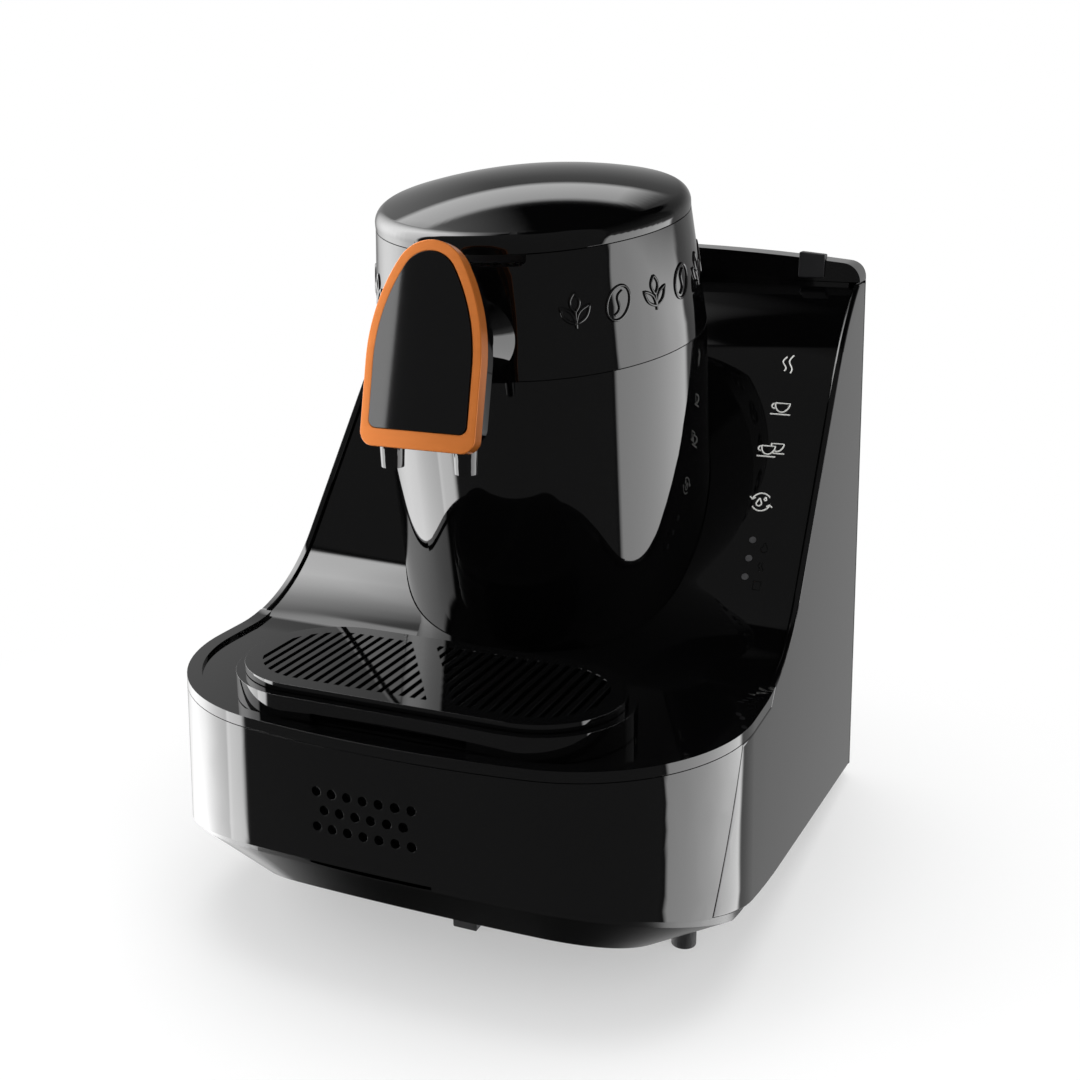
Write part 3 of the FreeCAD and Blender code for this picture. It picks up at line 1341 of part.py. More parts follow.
def hoses():
    """Runs from the tank to the pump, from the pump up to the barrel, and to the neck."""
    x, z = pump_x.value, pump_z.value
    rear = (pump_y + pump_length / 2).value + 1
    front = (pump_y - pump_length / 2).value - 1
    spigot_foot = (tank_foot - spigot_length).value
    level = spigot_foot - hose_bend.value - 2
    bore = hose_radius.value - hose_wall.value
    feed = [Vector(0, valve_y.value, spigot_foot + hose_overlap.value - 0.1),
            Vector(0, valve_y.value, level),
            Vector(x, valve_y.value, level), Vector(x, valve_y.value, z), Vector(x, rear, z)]
    node("tank_hose", tube("tank_hose", feed, hose_radius.value, hose_bend.value, bore))
    lean = Rotation(Vector(1, 0, 0), barrel_lean.value)
    base = Vector(0, barrel_y.value, barrel_z.value)

    def in_barrel(across, offset, height):
        return base + lean.multVec(Vector(across, offset, height))

    shelf = -(chassis_drop + chassis_wall).value
    riser_x, riser_y = riser_offset_x.value, riser_offset_y.value
    turn = in_barrel(riser_x, riser_y, shelf - riser_length.value)
    supply = [Vector(x, front, z), Vector(x, turn.y, z), turn,
              in_barrel(riser_x, riser_y, shelf - 0.1)]
    node("pump_hose", tube("pump_hose", supply, hose_radius.value, hose_bend.value, bore))

    valve_foot = -(pot_depth + pot_wall + valve_length).value - 0.2
    level = valve_foot - tube_bend.value - 3
    offset = tube_offset.value
    rise = (neck_z.value - base.z - offset * sine(barrel_lean).value) / cosine(barrel_lean).value
    coffee = [in_barrel(0, outlet_offset.value, valve_foot), in_barrel(0, outlet_offset.value, level),
              in_barrel(0, offset, level), in_barrel(0, offset, rise),
              Vector(0, nozzle_y.value + 7, neck_z.value)]
    node("coffee_tube", tube("coffee_tube", coffee, outlet_tube_radius.value, tube_bend.value,
                             outlet_tube_radius.value - hose_wall.value))


hose_bend = size("hose_bend", 5)
tube_bend = size("tube_bend", 7)
riser_offset_x = size("riser_offset_x", -40)
riser_offset_y = size("riser_offset_y", -12)
riser_length = size("riser_length", 60)


def boards():
    top = chassis_top
    board_low = top + 6
    far_x, far_y = board_x + board_width, board_y + board_length
    foot = board_low + board_wall - 0.1
    board = block("power_board_plate", (board_x, far_x), (board_y, far_y),
                  (board_low, board_low + board_wall))
    coil_x, coil_y = board_x + part_margin, board_y + part_margin
    relay_x, relay_y = far_x - part_margin, board_y + part_margin
    parts = [
        block("board_transformer", (coil_x, coil_x + coil_size), (coil_y, coil_y + coil_size),
              (foot, foot + coil_height)),
        block("board_relay", (relay_x - relay_size, relay_x), (relay_y, relay_y + relay_size),
              (foot, foot + relay_size)),
        rod("board_capacitor", can_radius, relay_x - can_radius, far_y - 2 * part_margin, foot,
            foot + can_height),
        block("board_terminal", (coil_x, coil_x + coil_size), (far_y - part_margin, far_y - 3),
              (foot, foot + terminal_height)),
    ]
    legs = [rod(f"board_leg_{index}", board_leg_radius, x, y, top + 0.1, board_low + 0.5)
            for index, (x, y) in enumerate(((board_x + leg_margin, board_y + leg_margin),
                                            (far_x - leg_margin, board_y + leg_margin),
                                            (board_x + leg_margin, far_y - leg_margin),
                                            (far_x - leg_margin, far_y - leg_margin)))]
    node("power_board", fuse("power_board", board, *parts, *legs))

    base = cover_drop + cover_wall + seam_gap
    corners = [(-board_half_width, 0), (board_half_width, 0),
               (board_half_width, touch_length), (-board_half_width, touch_length)]
    plate = padded("touch_plate", "XY_Plane", [(corners, None)], board_wall, offset=-board_wall)
    node("touch_board", on_sweep(plate, lamp_x - 1, touch_start, base))
    lamps = []
    for index, y in enumerate(lamp_places()):
        lamp = rod(f"lamp_{index}", lamp_radius, 0, 0, 0, base - cover_drop)
        lamps.append(on_sweep(lamp, lamp_x, y, base))
    node("status_lamps", fuse("status_lamps", *lamps))


board_wall = size("board_wall", 1.6)
board_x = size("board_x", 20)
board_y = size("board_y", 20)
board_width = size("board_width", 72)
board_length = size("board_length", 76)
board_leg_radius = size("board_leg_radius", 3)
leg_margin = size("leg_margin", 5)
part_margin = size("part_margin", 11)
coil_size = size("coil_size", 28)
coil_height = size("coil_height", 24)
relay_size = size("relay_size", 16)
can_radius = size("can_radius", 6)
can_height = size("can_height", 20)
terminal_height = size("terminal_height", 10)
board_half_width = size("board_half_width", 15)
touch_length = size("touch_length", 98)
touch_start = size("touch_start", 9.5)


def speaker():
    face = -half_depth + shell_wall + 2.6
    rim = rod_along_y("speaker_rim", speaker_radius, speaker_x, face, face + 3, speaker_z)
    cone = doc.addObject("Part::Cone", "speaker_cone")
    bind(cone, "Radius1", speaker_radius - 2)
    bind(cone, "Radius2", 9)
    bind(cone, "Height", 9)
    place(cone, speaker_x, face + 3, speaker_z, Vector(1, 0, 0), -90)
    magnet = rod_along_y("speaker_magnet", 11, speaker_x, face + 11, face + 18, speaker_z)
    node("speaker", fuse("speaker", rim, cone, magnet))


def rear_parts():
    rear_y = rear_reach - tangent(side_draft) * inlet_z
    socket = block("inlet_socket", (inlet_x - inlet_width / 2 + 0.2, inlet_x + inlet_width / 2 - 0.2),
                   (rear_y - 20, rear_y - 0.6),
                   (inlet_z - inlet_height / 2 + 0.2, inlet_z + inlet_height / 2 - 0.2))
    cavity = block("inlet_cavity", (inlet_x - inlet_width / 2 + 2.2, inlet_x + inlet_width / 2 - 2.2),
                   (rear_y - 16, far), (inlet_z - inlet_height / 2 + 2.2, inlet_z + inlet_height / 2 - 2.2))
    pins = [block(f"inlet_pin_{index}", (inlet_x + dx - 1, inlet_x + dx + 1),
                  (rear_y - 17, rear_y - 3), (inlet_z + dz - 2, inlet_z + dz + 2))
            for index, (dx, dz) in enumerate(((-7, -1.5), (0, 1.5), (7, -1.5)))]
    node("mains_inlet", fuse("mains_inlet", cut("inlet_shell", socket, cavity), *pins))

    switch_y = rear_reach - tangent(side_draft) * switch_z
    frame = block("switch_frame", (switch_x - switch_width / 2 + 0.2, switch_x + switch_width / 2 - 0.2),
                  (switch_y - 16, switch_y - 0.8),
                  (switch_z - switch_height / 2 + 0.2, switch_z + switch_height / 2 - 0.2))
    hollow = block("switch_hollow", (switch_x - switch_width / 2 + 1.8, switch_x + switch_width / 2 - 1.8),
                   (switch_y - 10, far),
                   (switch_z - switch_height / 2 + 1.8, switch_z + switch_height / 2 - 1.8))
    pivot_y = switch_y - 4.5
    half_span = switch_width / 2 - 1.8
    pivot_bore = rod_along_x("switch_bore", rocker_axle_radius + shaft_clearance,
                             switch_x - half_span - 1, switch_x + half_span + 1, pivot_y, switch_z)
    node("switch_housing", cut("switch_housing", frame, hollow, pivot_bore))
    face = [(-rocker_half_depth, -rocker_half_height), (rocker_half_depth, -rocker_half_height),
            (rocker_half_depth, rocker_half_height), (-rocker_half_depth, rocker_half_height)]
    paddle = padded("rocker_paddle", "YZ_Plane", [(face, None)], 2 * half_span - 1, symmetric=True)
    axle = doc.addObject("PartDesign::Body", "rocker_axle")
    sketch = new_sketch(axle, "rocker_axle_sketch", "YZ_Plane")
    draw_circle(sketch, 0, 0, rocker_axle_radius)
    add_pad(axle, sketch, 2 * half_span + 1.6, symmetric=True)
    rocker = fuse("power_rocker", paddle, axle)
    node("power_rocker", place(rocker, switch_x, pivot_y, switch_z, Vector(1, 0, 0), -rocker_tilt))


rocker_half_depth = size("rocker_half_depth", 2.5)
rocker_half_height = size("rocker_half_height", 4.8)
rocker_axle_radius = size("rocker_axle_radius", 1)
rocker_tilt = size("rocker_tilt", 8)


front_skirt()
side_panels()
rear_cover()
top_cover()
pan = base_pan()
feet(pan)
barrel_body()
barrel_collar()
brew_lid()
brewing_parts()
shield_parts()
cup_plate()
drip_tray()
bulkhead()
water_tank()
tank_lid()
valve_parts()
chassis_plate()
pump_parts()
hoses()
boards()
speaker()
rear_parts()

doc.recompute()

problems = []
for item in doc.Objects:
    if "Invalid" in item.State or "Error" in item.State:
        problems.append(f"{item.Label} did not build")
for item in nodes:
    shape = item.Shape
    if shape.isNull() or not shape.isValid() or not shape.Solids:
        problems.append(f"{item.Label} has no valid solid")
if problems:
    raise RuntimeError("; ".join(problems))

os.makedirs("parts", exist_ok=True)
for item in nodes:
    item.Shape.exportStep(f"parts/{item.Label}.step")
print(len(nodes), "pieces written")
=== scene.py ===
import json
import math

import bmesh
import bpy
from mathutils import Matrix, Vector


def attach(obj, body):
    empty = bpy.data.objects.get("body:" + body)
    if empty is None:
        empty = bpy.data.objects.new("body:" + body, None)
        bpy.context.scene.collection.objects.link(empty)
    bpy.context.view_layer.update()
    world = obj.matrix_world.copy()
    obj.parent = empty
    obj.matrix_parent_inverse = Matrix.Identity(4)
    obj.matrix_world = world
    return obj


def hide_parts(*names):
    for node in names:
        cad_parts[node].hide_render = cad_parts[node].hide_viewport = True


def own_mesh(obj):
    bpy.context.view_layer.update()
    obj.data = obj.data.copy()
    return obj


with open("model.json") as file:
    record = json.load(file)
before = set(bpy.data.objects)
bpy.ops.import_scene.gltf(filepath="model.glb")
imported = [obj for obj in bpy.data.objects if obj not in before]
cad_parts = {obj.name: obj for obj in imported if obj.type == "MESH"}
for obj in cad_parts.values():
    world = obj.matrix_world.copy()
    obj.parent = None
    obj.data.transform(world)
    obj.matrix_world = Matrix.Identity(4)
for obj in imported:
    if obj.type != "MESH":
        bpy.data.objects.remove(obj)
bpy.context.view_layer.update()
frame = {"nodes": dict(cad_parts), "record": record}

MM = 0.001

# Sizes that the dressing shares with the solids, in millimetres and degrees
BARREL_BASE = Vector((0, 3.2, 292.1))
BARREL_LEAN = math.radians(10.75)
BARREL_RADIUS = 70.7
COLLAR_TOP_RADIUS = 65.4
COLLAR_HEIGHT = 48.2
SWEEP_START = -50
SWEEP_RADIUS = 75
SWEEP_ANGLE = math.radians(51)
SWEEP_END = 72
CREST_RADIUS = 150
RIM_HEIGHT = 112.5
COVER_DROP = 1.5


# Node graph helpers

def add_node(tree, kind, settings=None, **inputs):
    node = tree.nodes.new(kind)
    for name, value in (settings or {}).items():
        setattr(node, name, value)
    for name, value in inputs.items():
        socket = node.inputs[int(name[1:])] if name[0] == "_" else node.inputs[name.replace("_", " ")]
        if isinstance(value, bpy.types.NodeSocket):
            tree.links.new(value, socket)
        else:
            socket.default_value = value
    return node


def calculate(tree, operation, *values):
    inputs = {f"_{index}": value for index, value in enumerate(values)}
    return add_node(tree, "ShaderNodeMath", {"operation": operation}, **inputs).outputs[0]


def ramp(tree, factor, stops):
    node = add_node(tree, "ShaderNodeValToRGB", Fac=factor)
    elements = node.color_ramp.elements
    while len(elements) < len(stops):
        elements.new(0.5)
    for element, (place, colour) in zip(elements, stops):
        element.position = place
        element.color = (*colour, 1) if len(colour) == 3 else (colour[0],) * 3 + (1,)
    return node.outputs["Color"]


def new_group(name, inputs, outputs):
    tree = bpy.data.node_groups.new(name, "ShaderNodeTree")
    for title, kind, value in inputs:
        socket = tree.interface.new_socket(title, in_out="INPUT", socket_type=kind)
        if value is not None:
            socket.default_value = value
    for title, kind in outputs:
        tree.interface.new_socket(title, in_out="OUTPUT", socket_type=kind)
    return tree, tree.nodes.new("NodeGroupInput"), tree.nodes.new("NodeGroupOutput")


def handled_surface():
    """Faint smears and moulding waves that every moulded piece shares."""
    tree, given, result = new_group(
        "handled surface",
        [("Vector", "NodeSocketVector", None), ("Scale", "NodeSocketFloat", 60.0),
         ("Roughness", "NodeSocketFloat", 0.08), ("Spread", "NodeSocketFloat", 0.03)],
        [("Roughness", "NodeSocketFloat"), ("Height", "NodeSocketFloat")])
    smear = add_node(tree, "ShaderNodeTexNoise", Vector=given.outputs["Vector"],
                     Scale=given.outputs["Scale"], Detail=4.0, Roughness=0.6)
    fine_scale = calculate(tree, "MULTIPLY", given.outputs["Scale"], 9.0)
    fine = add_node(tree, "ShaderNodeTexNoise", Vector=given.outputs["Vector"],
                    Scale=fine_scale, Detail=2.0)
    level = calculate(tree, "SUBTRACT", smear.outputs["Fac"], 0.5)
    level = calculate(tree, "MULTIPLY", level, given.outputs["Spread"])
    level = calculate(tree, "ADD", level, given.outputs["Roughness"])
    level = calculate(tree, "MAXIMUM", level, 0.02)
    tree.links.new(level, result.inputs["Roughness"])
    tree.links.new(fine.outputs["Fac"], result.inputs["Height"])
    return tree


def brushed_grain():
    """Long fine lines along one axis, for drawn or turned metal."""
    tree, given, result = new_group(
        "brushed grain",
        [("Vector", "NodeSocketVector", None), ("Stretch", "NodeSocketVector", (1.0, 1.0, 1.0)),
         ("Scale", "NodeSocketFloat", 900.0)],
        [("Shade", "NodeSocketFloat"), ("Height", "NodeSocketFloat")])
    turned = add_node(tree, "ShaderNodeMapping", Vector=given.outputs["Vector"],
                      Scale=given.outputs["Stretch"])
    lines = add_node(tree, "ShaderNodeTexNoise", Vector=turned.outputs["Vector"],
                     Scale=given.outputs["Scale"], Detail=3.0)
    tree.links.new(lines.outputs["Fac"], result.inputs["Shade"])
    tree.links.new(lines.outputs["Fac"], result.inputs["Height"])
    return tree


SURFACE = handled_surface()
GRAIN = brushed_grain()


def new_material(name):
    material = bpy.data.materials.new(name)
    material.use_nodes = True
    tree = material.node_tree
    shader = tree.nodes["Principled BSDF"]
    place = tree.nodes.new("ShaderNodeTexCoord").outputs["Object"]
    return material, tree, shader, place


def moulded(name, colour, roughness, spread=0.03, scale=60.0, bump=0.0, tint=0.15):
    """Moulded plastic or rubber, with a little variation in its colour and its gloss."""
    material, tree, shader, place = new_material(name)
    group = add_node(tree, "ShaderNodeGroup", {"node_tree": SURFACE}, Vector=place,
                     Scale=scale, Roughness=roughness, Spread=spread)
    tree.links.new(group.outputs["Roughness"], shader.inputs["Roughness"])
    shade = add_node(tree, "ShaderNodeTexNoise", Vector=place, Scale=scale * 0.4)
    low = [channel * (1 - tint) for channel in colour]
    high = [min(channel * (1 + tint), 1) for channel in colour]
    tree.links.new(ramp(tree, shade.outputs["Fac"], [(0.3, low), (0.7, high)]),
                   shader.inputs["Base Color"])
    if bump:
        relief = add_node(tree, "ShaderNodeBump", Strength=bump, Distance=0.0002,
                          Height=group.outputs["Height"])
        tree.links.new(relief.outputs["Normal"], shader.inputs["Normal"])
    return material


def metal(name, colour, roughness, stretch, scale=900.0, bump=0.15, contrast=0.12):
    """Metal with a brushed grain that runs along the short side of its stretch."""
    material, tree, shader, place = new_material(name)
    group = add_node(tree, "ShaderNodeGroup", {"node_tree": GRAIN}, Vector=place,
                     Stretch=stretch, Scale=scale)
    low = [channel * (1 - contrast) for channel in colour]
    tree.links.new(ramp(tree, group.outputs["Shade"], [(0.35, low), (0.65, colour)]),
                   shader.inputs["Base Color"])
    shader.inputs["Metallic"].default_value = 1
    spread = calculate(tree, "MULTIPLY", group.outputs["Shade"], roughness * 0.5)
    tree.links.new(calculate(tree, "ADD", spread, roughness * 0.75), shader.inputs["Roughness"])
    relief = add_node(tree, "ShaderNodeBump", Strength=bump, Distance=0.0001,
                      Height=group.outputs["Height"])
    tree.links.new(relief.outputs["Normal"], shader.inputs["Normal"])
    return material


piano_black = moulded("piano black", (0.0011, 0.0011, 0.0012), 0.03, 0.015, 35.0)
panel_black = moulded("panel black", (0.0011, 0.0011, 0.0012), 0.03, 0.015, 35.0)
hull_black = moulded("hull black", (0.0015, 0.0015, 0.0016), 0.22, 0.03, 35.0)
satin_black = moulded("satin black", (0.012, 0.012, 0.013), 0.32, 0.10, 80.0, bump=0.15)
foot_rubber = moulded("foot rubber", (0.02, 0.02, 0.021), 0.75, 0.15, 220.0, bump=0.8)
silicone = moulded("silicone", (0.62, 0.61, 0.58), 0.45, 0.12, 120.0, bump=0.2, tint=0.05)
white_plastic = moulded("white plastic", (0.72, 0.72, 0.69), 0.4, 0.1, 90.0, bump=0.2, tint=0.04)
circuit_board = moulded("circuit board", (0.02, 0.16, 0.07), 0.35, 0.15, 200.0, bump=0.3)
copper = metal("satin copper", (0.39, 0.115, 0.022), 0.2, (0.05, 1.0, 1.0), 1400.0, 0.01, 0.03)
copper_shader = copper.node_tree.nodes["Principled BSDF"].inputs
copper_shader["Metallic"].default_value = 0.4
copper_shader["Specular IOR Level"].default_value = 0.2
seal_rubber = moulded("seal rubber", (0.010, 0.010, 0.011), 0.6, 0.1, 150.0)
steel = metal("brushed steel", (0.62, 0.61, 0.60), 0.28, (1.0, 1.0, 0.04))
heater_cast = metal("cast heater plate", (0.70, 0.70, 0.71), 0.5, (1.0, 1.0, 1.0), 500.0, 0.4)
icon_print = moulded("printed silver", (0.62, 0.62, 0.60), 0.35, 0.05, 300.0, tint=0.03)
lamp_lens = moulded("smoked lamp lens", (0.045, 0.045, 0.047), 0.3, 0.05, 300.0)
faint_print = moulded("faint print", (0.0012, 0.0012, 0.0012), 0.45, 0.05, 300.0)

FINISHES = {
    "piano_black": piano_black, "gloss_black": piano_black, "matte_black": satin_black,
    "copper_trim": copper, "steel": steel, "aluminium": heater_cast, "foot_rubber": foot_rubber,
    "silicone": silicone, "seal_rubber": seal_rubber, "circuit_board": circuit_board, "lamp_lens": lamp_lens,
    "white_plastic": white_plastic,
}


# Every solid takes the finish of its slot, and the ones that show get softened edges

def slot_of(node):
    for entry in frame["record"]["subparts"]:
        if entry["node"] == node:
            return entry["material_slot"]
    return None


def body_of(node):
    for body, names in frame["record"]["behaviour"]["bodies"].items():
        if node in names:
            return body
    return "housing"


def paint(thing, material):
    thing.data.materials.clear()
    thing.data.materials.append(material)


for name, thing in frame["nodes"].items():
    material = FINISHES[slot_of(name)]
    for index in range(max(1, len(thing.material_slots))):
        if not thing.material_slots:
            thing.data.materials.append(material)
        thing.material_slots[index].material = material


def piece(name, mesh, body, material):
    thing = bpy.data.objects.new(name, mesh)
    bpy.context.scene.collection.objects.link(thing)
    paint(thing, material)
    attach(thing, body)
    return thing


def applied(thing):
    """Turns a piece with modifiers into a plain mesh."""
    graph = bpy.context.evaluated_depsgraph_get()
    mesh = bpy.data.meshes.new_from_object(thing.evaluated_get(graph))
    thing.modifiers.clear()
    thing.data = mesh


def smooth_by_angle(mesh, limit):
    """Smooth faces, with the edges over the limit kept sharp."""
    shape = bmesh.new()
    shape.from_mesh(mesh)
    for face in shape.faces:
        face.smooth = True
    for edge in shape.edges:
        edge.smooth = not (len(edge.link_faces) == 2
                           and edge.calc_face_angle(0) > math.radians(limit))
    shape.to_mesh(mesh)
    shape.free()


MERGE_DISTANCE = 0.000004
FLAT_LIMIT = math.radians(0.02)
BEVEL_LIMIT = math.radians(28)
CREASE_LIMIT = 30
FLAT_WEIGHT = 80


def softened(node, radius, material=None, segments=3, crease=CREASE_LIMIT):
    """A copy of a solid with its edges rounded, which stands for it."""
    source = frame["nodes"][node]
    mesh = source.data.copy()
    shape = bmesh.new()
    shape.from_mesh(mesh)
    bmesh.ops.remove_doubles(shape, verts=shape.verts, dist=MERGE_DISTANCE)
    bmesh.ops.dissolve_limit(shape, angle_limit=FLAT_LIMIT, verts=shape.verts,
                             edges=shape.edges)
    shape.to_mesh(mesh)
    shape.free()
    mesh.materials.clear()
    thing = bpy.data.objects.new(node + "_soft", mesh)
    bpy.context.scene.collection.objects.link(thing)
    paint(thing, material or FINISHES[slot_of(node)])
    bevel = thing.modifiers.new("edges", "BEVEL")
    bevel.width = radius * MM
    bevel.segments = segments
    bevel.limit_method = "ANGLE"
    bevel.angle_limit = BEVEL_LIMIT
    applied(thing)
    smooth_by_angle(thing.data, crease)
    weighted = thing.modifiers.new("flat faces", "WEIGHTED_NORMAL")
    weighted.keep_sharp = True
    weighted.weight = FLAT_WEIGHT
    applied(thing)
    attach(thing, body_of(node))
    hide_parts(node)
    return thing


frame_piece = softened("spout_frame", 1.2, copper, 4)
panel_piece = softened("spout_panel", 0.5, panel_black)
EDGES = {
    "spout_body": 1.2, "spout_neck": 0.5, "nozzle_left": 0.6, "nozzle_right": 0.6, "cup_plate": 0.4,
    "drip_tray": 0.8, "brew_lid": 0.4, "barrel_collar": 0.3, "barrel_body": 0.3, "front_skirt": 0.3,
    "side_panel_left": 1.3, "side_panel_right": 1.3, "top_cover": 0.5, "tank_lid": 2.6,
    "lid_tab": 0.6, "water_tank": 0.5, "rear_cover": 0.4, "base_pan": 0.8, "front_feet": 0.8,
    "rear_feet": 0.8, "front_tab_foot": 0.8,
}
CREASES = {"base_pan": 10, "brew_lid": 12}
for name, radius in EDGES.items():
    softened(name, radius, hull_black if name == "base_pan" else None,
             crease=CREASES.get(name, CREASE_LIMIT))


# The valve's spring, which shortens as the plunger lifts, gets a mesh of its own

spring = frame["nodes"]["valve_spring"]
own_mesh(spring)


# Control panel: thin printed strokes on the swept back panel

PANEL_RADIUS = SWEEP_RADIUS + COVER_DROP
CREST_BEND = CREST_RADIUS - COVER_DROP
CLIMB_Y = SWEEP_START + PANEL_RADIUS * math.sin(SWEEP_ANGLE)
CLIMB_Z = RIM_HEIGHT + SWEEP_RADIUS - PANEL_RADIUS * math.cos(SWEEP_ANGLE)
CLIMB_LENGTH = (SWEEP_END + COVER_DROP * math.sin(SWEEP_ANGLE) - CLIMB_Y) / math.cos(SWEEP_ANGLE)


def on_panel(x, climb, rise=0.0):
    """A point on the climbing panel, by its way up along the surface and its height over it."""
    past = max(climb - CLIMB_LENGTH, 0) / CREST_BEND
    along = min(climb, CLIMB_LENGTH)
    y = CLIMB_Y + along * math.cos(SWEEP_ANGLE)
    z = CLIMB_Z + along * math.sin(SWEEP_ANGLE)
    slope = SWEEP_ANGLE - past
    y += CREST_BEND * (math.sin(SWEEP_ANGLE) - math.sin(slope))
    z += CREST_BEND * (math.cos(slope) - math.cos(SWEEP_ANGLE))
    return Vector((x, y - rise * math.sin(slope), z + rise * math.cos(slope))) * MM


def climb_to(y):
    """The way up the panel's straight part to a given depth."""
    return (y - CLIMB_Y) / math.cos(SWEEP_ANGLE)


def round_stroke(x, y, radius, start, stop, steps=14, flat=1.0):
    angles = [math.radians(start + (stop - start) * step / steps) for step in range(steps + 1)]
    return [(x + radius * math.cos(angle), y + flat * radius * math.sin(angle)) for angle in angles]


def cup_strokes(x, y, size):
    """A cup in side view on its saucer, with the handle to the left."""
    bowl = round_stroke(x, y + 0.30 * size, 0.40 * size, 180, 360, flat=1.35)
    handle = round_stroke(x - 0.42 * size, y + 0.12 * size, 0.15 * size, 100, 285, 8)
    saucer = [(x - 0.58 * size, y - 0.38 * size), (x + 0.52 * size, y - 0.38 * size)]
    return [bowl + [bowl[0]], handle, saucer]


def cup_pair_strokes():
    """Two cups, the one behind drawn only where the front one leaves it in sight."""
    back_x, back_y, size = 2.4, 1.0, 7.0
    near = round_stroke(back_x, back_y + 0.30 * size, 0.40 * size, 180, 200, 3, 1.35)
    far = round_stroke(back_x, back_y + 0.30 * size, 0.40 * size, 246, 360, 12, 1.35)
    saucer = [(back_x - 0.20 * size, back_y - 0.38 * size), (back_x + 0.52 * size, back_y - 0.38 * size)]
    return cup_strokes(-1.5, -0.6, 7.6) + [list(reversed(near)) + list(reversed(far)), saucer]


def wisp_strokes(x, y, size):
    """Two rising wisps of steam."""
    strokes = []
    for shift in (-0.14, 0.16):
        way = [step / 12 for step in range(13)]
        strokes.append([(x + size * (shift + 0.10 * math.sin(2 * math.pi * part + 0.5)),
                         y + size * (part - 0.5) * (1.0 if shift > 0 else 0.8)) for part in way])
    return strokes


def drop_strokes(x, y, size):
    round_part = round_stroke(x, y - 0.1 * size, 0.28 * size, -215, 35, 10)
    return [[(x, y + 0.5 * size)] + round_part + [(x, y + 0.5 * size)]]


def rinse_strokes(x, y, size):
    """A ring in two parts round two drops."""
    ring = [round_stroke(x, y, 0.5 * size, 35, 165), round_stroke(x, y, 0.5 * size, 215, 345)]
    heads = [[(x - 0.62 * size, y + 0.26 * size), (x - 0.48 * size, y + 0.12 * size),
              (x - 0.32 * size, y + 0.24 * size)],
             [(x + 0.62 * size, y - 0.26 * size), (x + 0.48 * size, y - 0.12 * size),
              (x + 0.32 * size, y - 0.24 * size)]]
    drops = (drop_strokes(x - 0.1 * size, y - 0.04 * size, 0.5 * size)
             + drop_strokes(x + 0.2 * size, y + 0.18 * size, 0.22 * size))
    return ring + heads + drops


def printed(name, strokes, x, climb, width, material):
    """Strokes drawn about a place on the panel, as thin raised lines that follow its surface."""
    data = bpy.data.curves.new(name, "CURVE")
    data.dimensions = "3D"
    data.bevel_depth = width / 2 * MM
    data.bevel_resolution = 1
    data.use_fill_caps = True
    for stroke in strokes:
        line = data.splines.new("POLY")
        line.points.add(len(stroke) - 1)
        for point, (across, up) in zip(line.points, stroke):
            point.co = (*on_panel(x + across, climb + up, ICON_RISE), 1)
    curve = bpy.data.objects.new(name + "_path", data)
    bpy.context.scene.collection.objects.link(curve)
    graph = bpy.context.evaluated_depsgraph_get()
    mesh = bpy.data.meshes.new_from_object(curve.evaluated_get(graph))
    bpy.data.objects.remove(curve)
    for face in mesh.polygons:
        face.use_smooth = True
    piece(name, mesh, "housing", material)


ICON_WIDTH = 0.75
ICON_RISE = 0.02
KEYS = {
    "steam_key": (92.8, 77.9, wisp_strokes(0, 0, 9.5)),
    "cup_key": (94.5, 63.6, cup_strokes(0, 0, 8.2)),
    "two_cup_key": (93.7, 50.5, cup_pair_strokes()),
    "rinse_key": (94.1, 34.4, rinse_strokes(0, 0, 8.4)),
}
for name, (x, y, strokes) in KEYS.items():
    printed(name, strokes, x, climb_to(y), ICON_WIDTH, icon_print)

LAMP_X = 94
LAMP_FIRST_Y = 21.9
LAMP_PITCH = 8.6
MARK_SHIFT = 5.8
MARK_DROP = 1.5
MARK_WIDTH = 0.45
lamp_marks = [drop_strokes(0, 0, 5.2), wisp_strokes(0, 0, 4.8),
              [[(-2.1, 1.8), (2.1, 1.8)], [(-1.6, 1.8), (-1.6, -2.0), (1.6, -2.0), (1.6, 1.8)]]]
for index, strokes in enumerate(lamp_marks):
    climb = climb_to(LAMP_FIRST_Y) - LAMP_PITCH * index
    printed(f"lamp_mark_{index}", strokes, LAMP_X + MARK_SHIFT, climb - MARK_DROP,
            MARK_WIDTH, faint_print)


# Raised band of leaves and beans round the collar

def bean_strokes(x, size):
    """A bean's outline with its wavy groove."""
    lean = math.radians(24)
    outline = [(0.36 * size * math.cos(angle), 0.5 * size * math.sin(angle))
               for angle in [2 * math.pi * step / 28 for step in range(28)]]
    groove = [(0.09 * size * math.sin(2 * math.pi * part), size * (part - 0.5) * 0.72)
              for part in [step / 12 for step in range(13)]]

    def turned(points):
        return [(x + across * math.cos(lean) + up * math.sin(lean),
                 up * math.cos(lean) - across * math.sin(lean)) for across, up in points]

    return [(turned(outline), True), (turned(groove), False)]


def almond(x, y, tip_x, tip_y, width):
    """A leaf's outline from its root to its tip."""
    along = [step / 12 for step in range(13)]
    length = math.hypot(tip_x - x, tip_y - y)
    side = Vector((y - tip_y, tip_x - x)) / length
    way = [(part, width * math.sin(math.pi * part)) for part in along]
    way += [(part, -out) for part, out in reversed(way[1:-1])]
    return [(x + (tip_x - x) * part + side.x * out, y + (tip_y - y) * part + side.y * out)
            for part, out in way]


def leaf_strokes(x, size):
    """A sprig with a leaf on top and one to either side."""
    strokes = [([(x, -0.5 * size), (x, -0.05 * size)], False),
               (almond(x, -0.05 * size, x, 0.5 * size, 0.14 * size), True)]
    for side in (-1, 1):
        strokes.append((almond(x, -0.38 * size, x + side * 0.43 * size, 0.12 * size, 0.12 * size), True))
    return strokes


